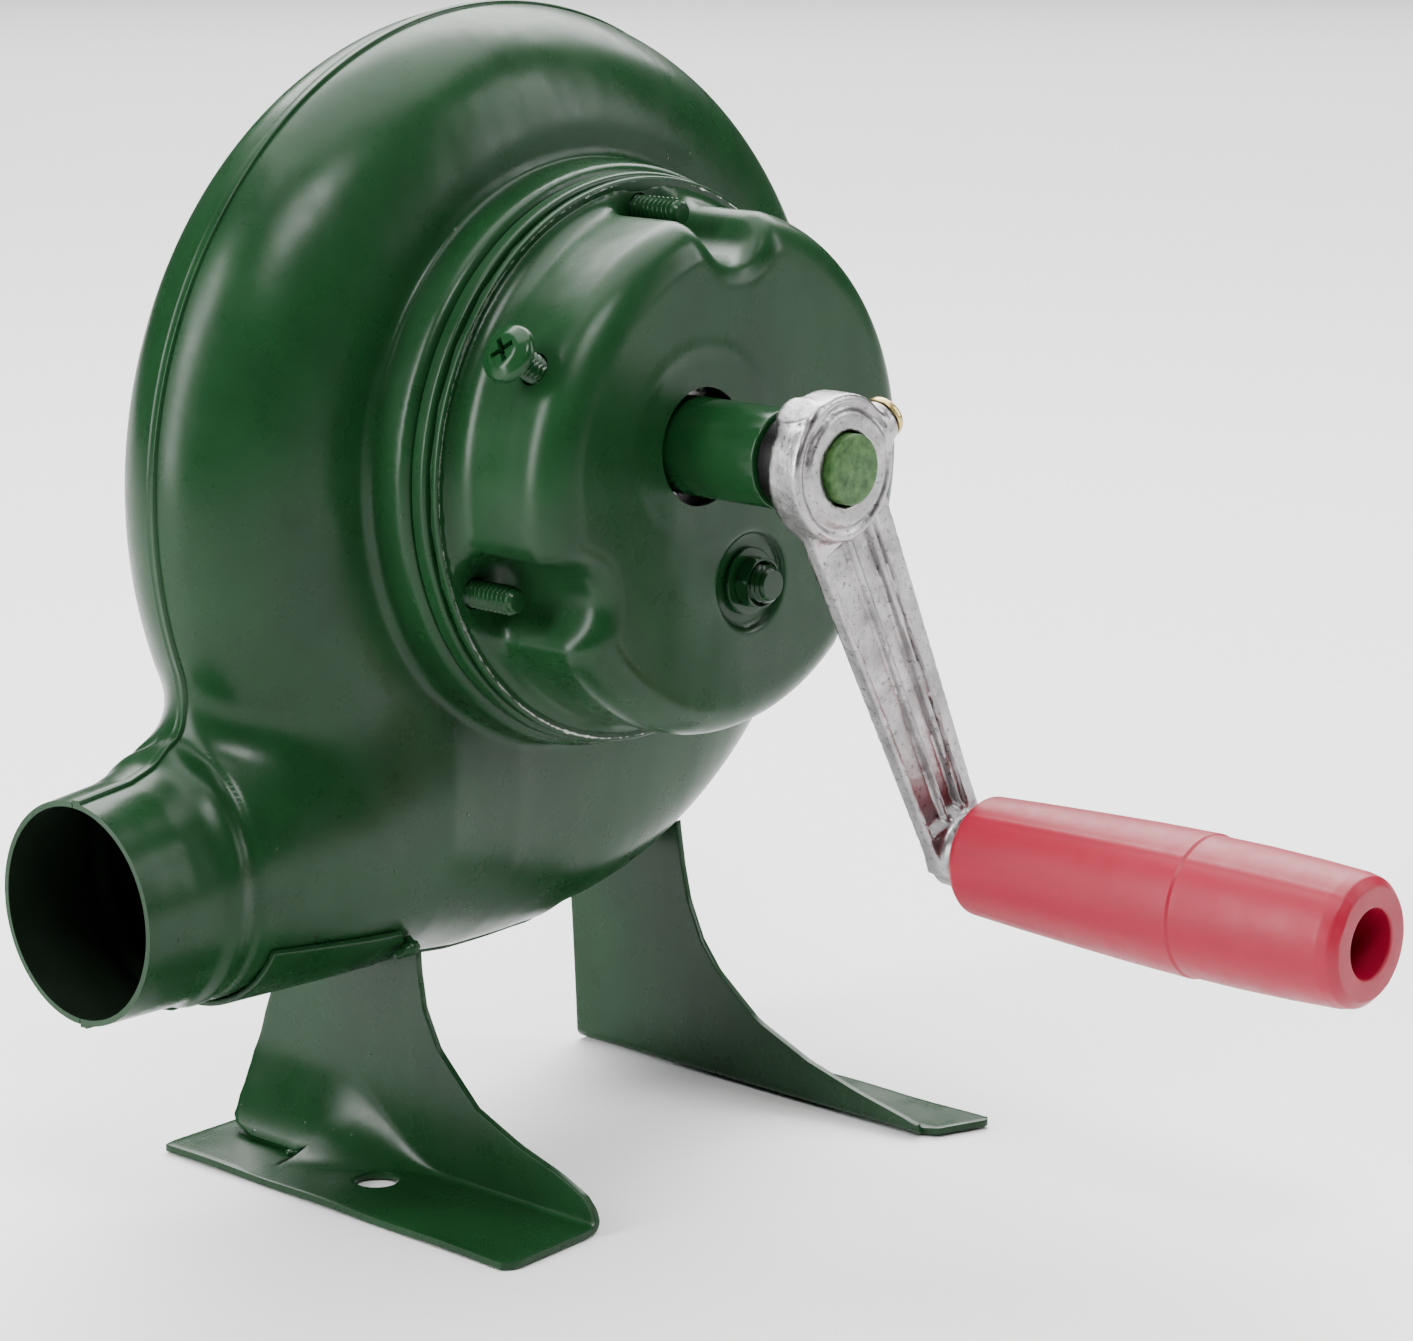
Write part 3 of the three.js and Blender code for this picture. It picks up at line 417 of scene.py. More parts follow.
# ---------------------------------------------------------------- materials

def shader(name):
    material = bpy.data.materials.new(name)
    material.use_nodes = True
    tree = material.node_tree
    return material, tree, tree.nodes["Principled BSDF"]


def texture_space(tree, scale=(1.0, 1.0, 1.0)):
    place = tree.nodes.new("ShaderNodeTexCoord")
    mapping = tree.nodes.new("ShaderNodeMapping")
    mapping.inputs["Scale"].default_value = scale
    tree.links.new(place.outputs["Object"], mapping.inputs["Vector"])
    return mapping.outputs["Vector"]


def noise(tree, space, scale, detail=3.0, roughness=0.5):
    node = tree.nodes.new("ShaderNodeTexNoise")
    node.inputs["Scale"].default_value = scale
    node.inputs["Detail"].default_value = detail
    node.inputs["Roughness"].default_value = roughness
    tree.links.new(space, node.inputs["Vector"])
    return node.outputs["Fac"]


def ramp(tree, value, stops):
    """A colour ramp of (position, grey or colour) stops."""
    node = tree.nodes.new("ShaderNodeValToRGB")
    elements = node.color_ramp.elements
    while len(elements) < len(stops):
        elements.new(0.5)
    for element, (position, colour) in zip(elements, stops):
        element.position = position
        if isinstance(colour, (int, float)):
            colour = (colour, colour, colour)
        element.color = (*colour, 1.0)
    tree.links.new(value, node.inputs["Fac"])
    return node.outputs["Color"]


def bump(tree, heights, surface):
    """Chains (height socket, strength, distance in mm) bumps and plugs them into the shader."""
    normal = None
    for height, strength, distance in heights:
        node = tree.nodes.new("ShaderNodeBump")
        node.inputs["Strength"].default_value = strength
        node.inputs["Distance"].default_value = distance * MM
        tree.links.new(height, node.inputs["Height"])
        if normal is not None:
            tree.links.new(normal, node.inputs["Normal"])
        normal = node.outputs["Normal"]
    tree.links.new(normal, surface.inputs["Normal"])


def mix_colour(tree, factor, a, b):
    node = tree.nodes.new("ShaderNodeMix")
    node.data_type = "RGBA"
    tree.links.new(factor, node.inputs[0])
    for socket, value in ((node.inputs[6], a), (node.inputs[7], b)):
        if isinstance(value, tuple):
            socket.default_value = (*value, 1.0)
        else:
            tree.links.new(value, socket)
    return node.outputs[2]


def math_node(tree, operation, a, b=None, clamp=False):
    node = tree.nodes.new("ShaderNodeMath")
    node.operation = operation
    node.use_clamp = clamp
    for socket, value in ((node.inputs[0], a), (node.inputs[1], b)):
        if value is None:
            continue
        if isinstance(value, (int, float)):
            socket.default_value = value
        else:
            tree.links.new(value, socket)
    return node.outputs[0]


GREEN = (0.0066, 0.0405, 0.0116)
GREEN_DEEP = (0.0038, 0.0258, 0.0073)


def enamel(name, wear=None, runs=0.5, roughness=(0.25, 0.37), deep=GREEN_DEEP, light=GREEN,
           cloud=38.0):
    """Thick glossy green enamel with waves, runs, dust nibs and worn places."""
    material, tree, surface = shader(name)
    space = texture_space(tree)
    drips = texture_space(tree, (1.0, 1.0, 0.35))
    cloudy = noise(tree, space, cloud, 4.0, 0.6)
    colour = mix_colour(tree, ramp(tree, cloudy, [(0.3, 0.0), (0.75, 1.0)]),
                        deep, light)
    rough = ramp(tree, noise(tree, space, 85.0, 4.0, 0.65),
                 [(0.35, roughness[0]), (0.75, roughness[1])])
    nib = tree.nodes.new("ShaderNodeTexVoronoi")
    nib.inputs["Scale"].default_value = 210.0
    tree.links.new(space, nib.inputs["Vector"])
    nib_height = ramp(tree, nib.outputs["Distance"], [(0.02, 1.0), (0.10, 0.0)])
    sparse = ramp(tree, noise(tree, space, 33.0, 2.0), [(0.56, 0.0), (0.62, 1.0)])
    nibs = math_node(tree, "MULTIPLY", nib_height, sparse)
    if wear is not None:
        mask = wear(tree, space)
        colour = mix_colour(tree, mask, colour, (0.42, 0.43, 0.40))
        metal = math_node(tree, "MULTIPLY", mask, 0.9)
        tree.links.new(metal, surface.inputs["Metallic"])
    tree.links.new(colour, surface.inputs["Base Color"])
    tree.links.new(rough, surface.inputs["Roughness"])
    surface.inputs["Specular IOR Level"].default_value = 0.2
    surface.inputs["IOR"].default_value = 1.5
    bump(tree, [
        (noise(tree, drips, 48.0, 2.0), runs, 1.2),
        (noise(tree, space, 650.0, 2.0), 0.05, 0.15),
        (nibs, 0.6, 0.25),
    ], surface)
    return material


def ring_wear(radius, spread, threshold):
    """Bare metal where the distance from the fan axis is near a radius, broken up by noise."""
    def mask(tree, space):
        split = tree.nodes.new("ShaderNodeSeparateXYZ")
        tree.links.new(space, split.inputs["Vector"])
        x = math_node(tree, "SUBTRACT", split.outputs["X"], ORIGIN.x)
        z = math_node(tree, "SUBTRACT", split.outputs["Z"], ORIGIN.z)
        square = math_node(tree, "ADD",
                           math_node(tree, "MULTIPLY", x, x),
                           math_node(tree, "MULTIPLY", z, z))
        distance = math_node(tree, "SQRT", square)
        off = math_node(tree, "ABSOLUTE",
                        math_node(tree, "SUBTRACT", distance, radius * MM))
        near = math_node(tree, "SUBTRACT", 1.0,
                         math_node(tree, "DIVIDE", off, spread * MM), clamp=True)
        grain = noise(tree, space, 420.0, 5.0, 0.7)
        patch = noise(tree, space, 30.0, 2.0)
        mixed = math_node(tree, "ADD", grain, math_node(tree, "MULTIPLY", patch, 0.8))
        both = math_node(tree, "MULTIPLY", near, mixed)
        return ramp(tree, both, [(threshold, 0.0), (threshold + 0.08, 1.0)])
    return mask


def cast_metal(name, colour=(0.40, 0.385, 0.39), roughness=(0.26, 0.44), grain=0.5):
    """Bare die-cast metal: fine grain, cloudy tarnish and small pits."""
    material, tree, surface = shader(name)
    space = texture_space(tree)
    cloudy = noise(tree, space, 110.0, 5.0, 0.65)
    dull = tuple(value * 0.5 for value in colour)
    shade = mix_colour(tree, ramp(tree, cloudy, [(0.3, 0.0), (0.62, 1.0)]), dull, colour)
    fleck = noise(tree, space, 900.0, 3.0, 0.7)
    flecked = mix_colour(tree, ramp(tree, fleck, [(0.33, 1.0), (0.42, 0.0)]),
                         shade, tuple(value * 0.35 for value in colour))
    tree.links.new(flecked, surface.inputs["Base Color"])
    surface.inputs["Metallic"].default_value = 1.0
    rough = ramp(tree, noise(tree, space, 240.0, 4.0, 0.7),
                 [(0.3, roughness[0]), (0.7, roughness[1])])
    tree.links.new(rough, surface.inputs["Roughness"])
    bump(tree, [
        (noise(tree, space, 700.0, 4.0, 0.7), grain, 0.12),
        (noise(tree, space, 160.0, 3.0), 0.25, 0.25),
    ], surface)
    return material


def turned_metal(name, colour, roughness=(0.22, 0.38)):
    """Machined metal with fine turning marks."""
    material, tree, surface = shader(name)
    space = texture_space(tree, (1.0, 9.0, 1.0))
    plain = texture_space(tree)
    marks = noise(tree, space, 320.0, 4.0, 0.7)
    tint = mix_colour(tree, ramp(tree, noise(tree, plain, 90.0), [(0.3, 0.0), (0.7, 1.0)]),
                      tuple(value * 0.7 for value in colour), colour)
    tree.links.new(tint, surface.inputs["Base Color"])
    surface.inputs["Metallic"].default_value = 1.0
    tree.links.new(ramp(tree, marks, [(0.3, roughness[0]), (0.7, roughness[1])]),
              surface.inputs["Roughness"])
    bump(tree, [(marks, 0.25, 0.05)], surface)
    return material


def moulded_plastic(name, colour):
    """Satin moulded plastic with faint flow marks and fine scratches."""
    material, tree, surface = shader(name)
    space = texture_space(tree)
    along = texture_space(tree, (1.0, 0.12, 1.0))
    flow = noise(tree, along, 130.0, 4.0, 0.6)
    deep = tuple(value * 0.82 for value in colour)
    tint = mix_colour(tree, ramp(tree, flow, [(0.3, 0.0), (0.75, 1.0)]), deep, colour)
    tree.links.new(tint, surface.inputs["Base Color"])
    tree.links.new(ramp(tree, noise(tree, space, 190.0, 5.0, 0.7), [(0.3, 0.36), (0.7, 0.52)]),
              surface.inputs["Roughness"])
    surface.inputs["IOR"].default_value = 1.49
    surface.inputs["Specular IOR Level"].default_value = 0.35
    bump(tree, [
        (noise(tree, space, 1100.0, 3.0, 0.6), 0.18, 0.05),
        (noise(tree, along, 60.0, 2.0), 0.12, 0.5),
    ], surface)
    return material


MATERIAL = {
    "casing": enamel("casing_enamel"),
    "drum": enamel("drum_enamel", wear=ring_wear(58.0, 1.5, 0.80)),
    # Near-black enamel for the inner face of the casing sheets: painted shade standing for the unlit inside
    # of the casing and its duct.
    "inside": enamel("casing_inside_painted_shade", roughness=(0.5, 0.7),
                     deep=(0.001, 0.003, 0.001), light=(0.002, 0.009, 0.003)),
    "ring": enamel("ring_enamel", runs=0.2),
    "foot": enamel("foot_enamel", runs=0.25, roughness=(0.24, 0.38)),
    "screw": enamel("screw_enamel", runs=0.15, roughness=(0.16, 0.3)),
    "aluminium": cast_metal("cast_aluminium"),
    "zinc": turned_metal("yellow_zinc", (0.62, 0.47, 0.20)),
    "steel": turned_metal("machined_steel", (0.55, 0.55, 0.54)),
    "fan": cast_metal("fan_aluminium", (0.45, 0.46, 0.46), (0.35, 0.55), 0.2),
    # Near-black metal for the crank's spacer ring: partly a real dark spacer, partly painted shade for the
    # shaded gap between sleeve and hub.
    "black": turned_metal("black_oxide_and_painted_shade", (0.02, 0.02, 0.02), (0.3, 0.5)),
    "bronze": turned_metal("bronze", (0.55, 0.33, 0.14)),
    "red": moulded_plastic("red_plastic", (0.28, 0.0015, 0.021)),
    "gasket": enamel("gasket_sheet", runs=0.1, roughness=(0.6, 0.8)),
    "worn": enamel("worn_enamel", runs=0.6, roughness=(0.3, 0.5),
                   deep=(0.010, 0.045, 0.007), light=(0.070, 0.150, 0.048), cloud=520.0),
    "sleeve": enamel("sleeve_enamel", runs=0.2, roughness=(0.14, 0.28)),
}


# ---------------------------------------------------------------- casing

def distance_map(outline, low, high, step):
    """Signed distances to a closed outline, on a grid that a field can look up."""
    a_axis = np.arange(low[0], high[0] + step, step)
    b_axis = np.arange(low[1], high[1] + step, step)
    a, b = np.meshgrid(a_axis, b_axis, indexing="ij")
    nearest = np.full(a.shape, np.inf)
    inside = np.zeros(a.shape, dtype=bool)
    for start, end in zip(outline, outline[1:] + outline[:1]):
        run_a, run_b = end[0] - start[0], end[1] - start[1]
        length = max(run_a ** 2 + run_b ** 2, 1e-9)
        share = np.clip(((a - start[0]) * run_a + (b - start[1]) * run_b) / length, 0, 1)
        off = np.hypot(a - start[0] - share * run_a, b - start[1] - share * run_b)
        nearest = np.minimum(nearest, off)
        if run_b:
            crosses = (b >= start[1]) != (b >= end[1])
            at = start[0] + (b - start[1]) / run_b * run_a
            inside ^= crosses & (a < at)
    values = np.where(inside, -nearest, nearest)

    def look_up(first, second):
        i = np.clip((first - low[0]) / step, 0, len(a_axis) - 1.001)
        j = np.clip((second - low[1]) / step, 0, len(b_axis) - 1.001)
        i0, j0 = i.astype(int), j.astype(int)
        u, v = i - i0, j - j0
        return ((values[i0, j0] * (1 - u) + values[i0 + 1, j0] * u) * (1 - v)
                + (values[i0, j0 + 1] * (1 - u) + values[i0 + 1, j0 + 1] * u) * v)
    return look_up


def snail_outline():
    """Section of the snail in radius and y, closed through negative radii."""
    width = VOLUTE_RADIUS - CREST_RADIUS
    turns = np.linspace(0, math.pi / 2, 40)
    front = [(CREST_RADIUS + width * math.cos(t), -CRANK_BULGE * math.sin(t)) for t in reversed(turns)]
    back = [(CREST_RADIUS + width * math.cos(t), INTAKE_BULGE * math.sin(t)) for t in turns]
    crank = rounded(
        [(-20.0, -COLLAR_DEPTH), (COLLAR_RADIUS, -COLLAR_DEPTH),
         (COLLAR_RADIUS + 0.3, -CRANK_BULGE), front[0]],
        [2.6, 2.8],
    )
    intake = rounded(
        [back[-1], (RECESS_RADIUS, INTAKE_BULGE), (RECESS_RADIUS - 0.8, INTAKE_DEPTH), (-20.0, INTAKE_DEPTH)],
        [0.8, 0.8],
    )
    return crank[:-1] + front + back[1:] + intake[1:]


def smooth_share(value, low, high):
    t = np.clip((value - low) / (high - low), 0, 1)
    return t * t * (3 - 2 * t)


snail_section = distance_map(snail_outline(), (-6.0, -48.0), (150.0, 44.0), 0.2)


def snail(points):
    x, y, z = points[:, 0], points[:, 1], points[:, 2]
    share = smooth_share(np.hypot(x, z), CREST_RADIUS, VOLUTE_RADIUS)
    turn = -np.degrees(np.arctan2(z, x))
    start, full, gone = (-angle for angle in SPIRAL_ANGLES)
    growth = SPIRAL_GROWTH * (smooth_share(turn, start, full) - smooth_share(turn, full, gone))
    radius = np.hypot(x - share * VOLUTE_SHIFT[0], z - share * VOLUTE_SHIFT[1]) - share * growth
    return snail_section(radius, y)


def duct(points):
    x, y, z = points[:, 0], points[:, 1], points[:, 2]
    bottom = np.interp(x, DUCT_X, DUCT_BOTTOM)
    top = np.interp(x, DUCT_X, DUCT_TOP)
    half = np.interp(x, DUCT_X, DUCT_HALF)
    tall = (top - bottom) / 2
    up = z - (top + bottom) / 2
    first = np.sqrt((y / half) ** 2 + (up / tall) ** 2) + 1e-6
    second = np.sqrt((y / half ** 2) ** 2 + (up / tall ** 2) ** 2) + 1e-6
    distance = first * (first - 1) / second
    distance = np.where(first < 0.3, -tall * 0.7, distance)
    bead = BEAD_HEIGHT * np.exp(-((x - BEAD_X) / BEAD_SPREAD) ** 2)
    step = STEP_HEIGHT * smooth_share(x, *STEP_X)
    return np.maximum(distance - bead - step, x)


# Blobs of weld and thick paint: place, spread and height.
BLOBS = (
    ((-89.5, -1.5, -55.5), 1.8, 1.2),
    ((-87.0, 0.6, -52.5), 1.5, 0.9),
    ((-85.0, -2.2, -49.5), 1.3, 0.8),
    ((-83.0, -6.0, -47.5), 1.6, 0.5),
)


def casing(points):
    reach = FILLET + SEAM_FILLET * np.exp(-(points[:, 1] / SEAM_FILLET_REACH) ** 2)
    distance = smooth_min(snail(points), duct(points), reach)
    for place, spread, height in BLOBS:
        off = ((points - np.array(place)) ** 2).sum(1)
        distance = distance - height * np.exp(-off / spread ** 2)
    return distance


def half_of(vertices, faces, side):
    """The casing surface on one side of the seam and behind the pipe mouth, as a bmesh."""
    return cut_by_planes(vertices, faces, (
        ((0, side * SEAM_GAP / 2, 0), (0, -side, 0)),
        ((MOUTH_X, 0, 0), (-1, 0, 0)),
    ))


def cut_by_planes(vertices, faces, planes):
    """A surface as a bmesh, without what lies on the side that each plane's normal points to."""
    mesh = bpy.data.meshes.new("whole")
    mesh.from_pydata(vertices.tolist(), [], faces.tolist())
    work = bmesh.new()
    work.from_mesh(mesh)
    bpy.data.meshes.remove(mesh)
    for place, normal in planes:
        bmesh.ops.bisect_plane(
            work, geom=work.verts[:] + work.edges[:] + work.faces[:],
            dist=1e-5, plane_co=place, plane_no=normal, clear_outer=True)
    bmesh.ops.remove_doubles(work, verts=work.verts[:], dist=0.02)
    return work


def bmesh_arrays(work):
    work.verts.index_update()
    vertices = [tuple(vertex.co) for vertex in work.verts]
    faces = [tuple(vertex.index for vertex in face.verts) for face in work.faces]
    return vertices, faces


def seam_line(work, side):
    """The casing's edge in the seam plane, as an ordered list of points from mouth to mouth."""
    links = {}
    for edge in work.edges:
        if not edge.is_boundary:
            continue
        a, b = edge.verts
        if max(abs(a.co.y - side * SEAM_GAP / 2), abs(b.co.y - side * SEAM_GAP / 2)) > 1e-3:
            continue
        links.setdefault(a, []).append(b)
        links.setdefault(b, []).append(a)
    ends = [vertex for vertex, near in links.items() if len(near) == 1]
    start = max(ends, key=lambda vertex: (-round(vertex.co.x), vertex.co.z))
    line, seen = [start], {start}
    while True:
        ahead = [vertex for vertex in links[line[-1]] if vertex not in seen]
        if not ahead:
            return np.array([tuple(vertex.co) for vertex in line])
        line.append(ahead[0])
        seen.add(ahead[0])


HEM_SECTION = ((-0.15, -0.6), (-0.15, 0.42), (-0.35, 0.62), (-0.7, 0.5), (-1.6, 0.46),
               (-2.0, 0.6), (-2.35, 0.42), (-2.5, -0.6))


def sweep_hem(line):
    """The narrow raised hem along the seam, with a lip along each of its edges."""
    line = line[np.r_[True, np.linalg.norm(np.diff(line, axis=0), axis=1) > 0.2]]
    flat = line.copy()
    flat[:, 1] = 0.0
    normal = gradient(casing, flat, 0.4)
    normal[:, 1] = 0.0
    normal /= np.linalg.norm(normal, axis=1)[:, None]
    vertices = []
    for y, out in HEM_SECTION:
        vertices.append(flat + normal * out + np.array([0, y, 0]))
    vertices = np.stack(vertices, 1).reshape(-1, 3)
    count = len(HEM_SECTION)
    faces = []
    for row in range(len(flat) - 1):
        for k in range(count):
            a = row * count + k
            b = row * count + (k + 1) % count
            faces.append((a, b, b + count, a + count))
    faces.append(tuple(range(count)))
    last = (len(flat) - 1) * count
    faces.append(tuple(last + k for k in range(count)))
    return vertices, faces


def build_casing():
    vertices, faces = implicit_mesh(
        casing, (-124, -40, -112), (104, 30, 96), CASING_CELL, rounds=2, polish=1)
    lip = None
    for side, name, node in ((-1, "casing_crank_half", "crank_side_shell"),
                             (1, "casing_intake_half", "intake_side_shell")):
        work = half_of(vertices, faces, side)
        if side < 0:
            lip = seam_line(work, side)
        points, quads = bmesh_arrays(work)
        work.free()
        piece = add_mesh(name, points, quads, MATERIAL["casing"], "housing", [node])
        # The inner face of the sheet gets the near-black enamel: painted shade for the unlit inside of the
        # casing.
        piece.data.materials.append(MATERIAL["inside"])
        thicken(piece, SHEET, inside=1)
        opening = GEAR_OPENING if side < 0 else INTAKE_HOLE
        wall = -COLLAR_DEPTH if side < 0 else INTAKE_DEPTH
        cut(piece, [bore_cutter(opening, (wall - 4, wall + 4), sides=180)])
        sharpen(piece, 50)
    crisp_piece("casing_seam_hem", sweep_hem(lip), "casing", degrees=60)


# ---------------------------------------------------------------- gearbox drum

FLANGE_BACK = node_box("gearbox_gasket")[0].y - 0.3
FLANGE_FRONT = FLANGE_BACK - 1.2
FLUTE_ANGLES = (90.0, 203.0, 324.0)
FLUTE_RADIUS = 8.4
DIMPLE_RADIUS = 9.8
DIMPLE_DEPTH = 1.4
CRANK_HOLE = 12.0


def on_circle(radius, degrees):
    angle = math.radians(degrees)
    return radius * math.cos(angle), radius * math.sin(angle)


def drum(points):
    x, y, z = points[:, 0], points[:, 1], points[:, 2]
    radius = np.hypot(x, z)
    side = radius - (DRUM_RADIUS - DRUM_SHOULDER)
    front = DRUM_FACE + DRUM_SHOULDER - y
    distance = (np.hypot(np.maximum(side, 0), np.maximum(front, 0))
                + np.minimum(np.maximum(side, front), 0) - DRUM_SHOULDER)
    for degrees in FLUTE_ANGLES:
        at = on_circle(SCREW_CIRCLE, degrees)
        flute = np.hypot(x - at[0], z - at[1]) - FLUTE_RADIUS
        distance = smooth_max(distance, -flute, 6.0)
    around = np.hypot(x - CRANK_X, z - CRANK_Z)
    turn = np.arctan2(z - CRANK_Z, x - CRANK_X)
    lift = 0.28 * np.clip(0.45 + 0.5 * np.sin(turn - 0.6) + 0.25 * np.sin(3 * turn), 0, 1)
    distance = distance - lift * np.exp(-((around - 20.0) / 1.5) ** 2)
    dimple = np.maximum(np.hypot(x - IDLER_X, z - IDLER_Z) - DIMPLE_RADIUS,
                        y - DRUM_FACE - DIMPLE_DEPTH)
    distance = smooth_max(distance, -dimple, 1.4)
    slab = FLANGE_FRONT - y
    distance = smooth_min(distance, slab, 6.0)
    return np.maximum(distance, radius - FLANGE_RADIUS + 1.8)


def build_gearbox_cover():
    vertices, faces = implicit_mesh(
        drum, (-62, -72, -62), (62, FLANGE_FRONT + 2.5, 62), 0.7, rounds=1)
    work = cut_by_planes(vertices, faces, [((0, FLANGE_FRONT + 0.9, 0), (0, 1, 0))])
    points, quads = bmesh_arrays(work)
    work.free()
    piece = add_mesh(
        "gearbox_drum", points, quads, MATERIAL["drum"], "housing", ["gearbox_cover"])
    thicken(piece, 1.0)
    reach = (DRUM_FACE - 5, DRUM_FACE + 8)
    cutters = [
        bore_cutter(CRANK_HOLE, reach, (CRANK_X, CRANK_Z), 96),
        bore_cutter(STUD_HOLE, reach, (IDLER_X, IDLER_Z)),
    ]
    points, quads = capped_lathe([(3.4, 44), (3.4, 60)], 48)
    cutters.append(cutter_mesh(turned_to(points, OIL_ANGLE, OIL_Y), quads))
    for degrees in FLUTE_ANGLES:
        cutters.append(bore_cutter(SCREW_HOLE, (-46, -38), on_circle(SCREW_CIRCLE, degrees)))
    cut(piece, cutters)
    sharpen(piece, 50)

    lip = FLANGE_RADIUS - 2.2
    ring = rounded([
        (lip - 0.7, FLANGE_BACK), (FLANGE_RADIUS, FLANGE_BACK), (FLANGE_RADIUS, FLANGE_FRONT - 0.5),
        (lip - 0.7, FLANGE_FRONT - 0.1), (lip - 0.9, FLANGE_FRONT + 0.5),
    ], [0.4, 0.8, 0.4], 6)
    crisp_piece("gearbox_flange_bead", lathe(ring, 256), "drum", ["gearbox_cover"],
                degrees=40)


def build_base_ring():
    """The ring between the casing and the gearbox, with soft painted edges."""
    low, high = node_box("gearbox_base_ring")
    outer = (high.x - low.x) / 2
    inner = outer - 13.8
    profile = rounded([
        (inner, high.y), (outer, high.y), (outer, low.y), (inner, low.y), (inner, high.y),
    ], [0.5, 1.1, 0.4], 6)[:-1]
    points, quads = lathe(profile, 256)
    ring = add_mesh("gearbox_base_ring_turned", points, quads, MATERIAL["ring"],
                    "housing", ["gearbox_base_ring"])
    cut(ring, [
        bore_cutter(SCREW_HOLE, (low.y - 2, high.y + 2), on_circle(SCREW_CIRCLE, degrees))
        for degrees in FLUTE_ANGLES
    ])
    sharpen(ring, 40)


# ---------------------------------------------------------------- screws

THREAD_SIDES = 36
RECESS_TAPER = 0.75


def thread_rows(radius, start, end, pitch, depth):
    """Rows of a threaded bar along Y: every row is one ring of a helical ridge."""
    per_turn = 8
    rows = int(abs(end - start) / pitch * per_turn)
    ys = np.linspace(start, end, rows + 1)
    turn = np.arange(THREAD_SIDES) / THREAD_SIDES
    grid = (ys[:, None] / pitch + turn[None, :]) % 1.0
    ridge = np.clip(np.abs(grid - 0.5) * 2.6 - 0.3, 0, 1)
    fade = np.clip(np.minimum(np.abs(ys - start), np.abs(ys - end)) / 0.6, 0, 1)[:, None]
    reach = radius - depth * (1 - ridge * fade)
    vertices = []
    for y, ring in zip(ys, reach):
        for side, out in enumerate(ring):
            angle = 2 * math.pi * side / THREAD_SIDES
            vertices.append((out * math.cos(angle), y, out * math.sin(angle)))
    return vertices, rows + 1


def ringed(vertices, rows, sides, caps=True):
    faces = []
    for row in range(rows - 1):
        for side in range(sides):
            a = row * sides + side
            b = row * sides + (side + 1) % sides
            faces.append((a, b, b + sides, a + sides))
    if caps:
        faces.append(tuple(range(sides)))
        faces.append(tuple((rows - 1) * sides + side for side in range(sides)))
    return vertices, faces


def pan_screw(length, head_radius=6.0, head_height=3.2, shank=3.0, pitch=1.25):
    """A threaded pan-head screw along Y: tip at 0, head seated at the given length."""
    threads, rows = thread_rows(shank, 0.7, length, pitch, 0.68)
    tip = [(0.6, 0.0), (shank - 1.0, 0.05), (shank - 0.6, 0.5)]
    head = rounded([
        (shank - 0.55, length), (head_radius, length), (head_radius, length + head_height * 0.55),
        (head_radius * 0.55, length + head_height), (0.6, length + head_height),
    ], [0.3, 2.0, 3.0], 6)
    vertices = []
    for radius, y in tip:
        vertices += ring_points(radius, y)
    vertices += threads
    for radius, y in head:
        vertices += ring_points(radius, y)
    return ringed(vertices, len(tip) + rows + len(head), THREAD_SIDES)


def ring_points(radius, y):
    turns = [2 * math.pi * k / THREAD_SIDES for k in range(THREAD_SIDES)]
    return [(radius * math.cos(turn), y, radius * math.sin(turn)) for turn in turns]


def bar_cutter(half_width, half_length, bottom, top):
    """A tapered bar that cuts one arm of a screw's recess, narrowest at its bottom."""
    vertices = []
    for y, share in ((bottom, RECESS_TAPER), (top, 1.0)):
        x, z = half_length * share, half_width * share
        vertices += [(-x, y, -z), (x, y, -z), (x, y, z), (-x, y, z)]
    faces = [(0, 1, 2, 3), (4, 5, 6, 7), (0, 1, 5, 4), (1, 2, 6, 5), (2, 3, 7, 6), (3, 0, 4, 7)]
    return vertices, faces


def recess(depth_from, top, turn, cross=True):
    """Cutters of a cross or a slot in a screw head, turned about the screw's axis."""
    cutters = []
    for quarter in ((0, 1) if cross else (0,)):
        points, faces = bar_cutter(0.62 if cross else 0.5, 2.9 if cross else 8.0, depth_from, top)
        angle = math.radians(turn + 90 * quarter)
        points = [
            (x * math.cos(angle) - z * math.sin(angle), y, x * math.sin(angle) + z * math.cos(angle))
            for x, y, z in points
        ]
        cutters.append((points, faces))
    return cutters


def add_screw(name, node, place, length, material, slot, body="housing", turn=20.0, cross=True, **sizes):
    """place maps the screw's own points (tip at y = 0, head up the Y axis) to local millimetres."""
    points, faces = pan_screw(length, **sizes)
    piece = add_mesh(name, place(points), faces, material, body, [node])
    top = length + sizes.get("head_height", 3.2)
    tools = [cutter_mesh(place(p), f) for p, f in recess(top - 1.9, top + 0.6, turn, cross)]
    cut(piece, tools)
    sharpen(piece, 38)
    return piece


def shifted(x, y, z):
    def place(points):
        return [(px + x, py + y, pz + z) for px, py, pz in points]
    return place


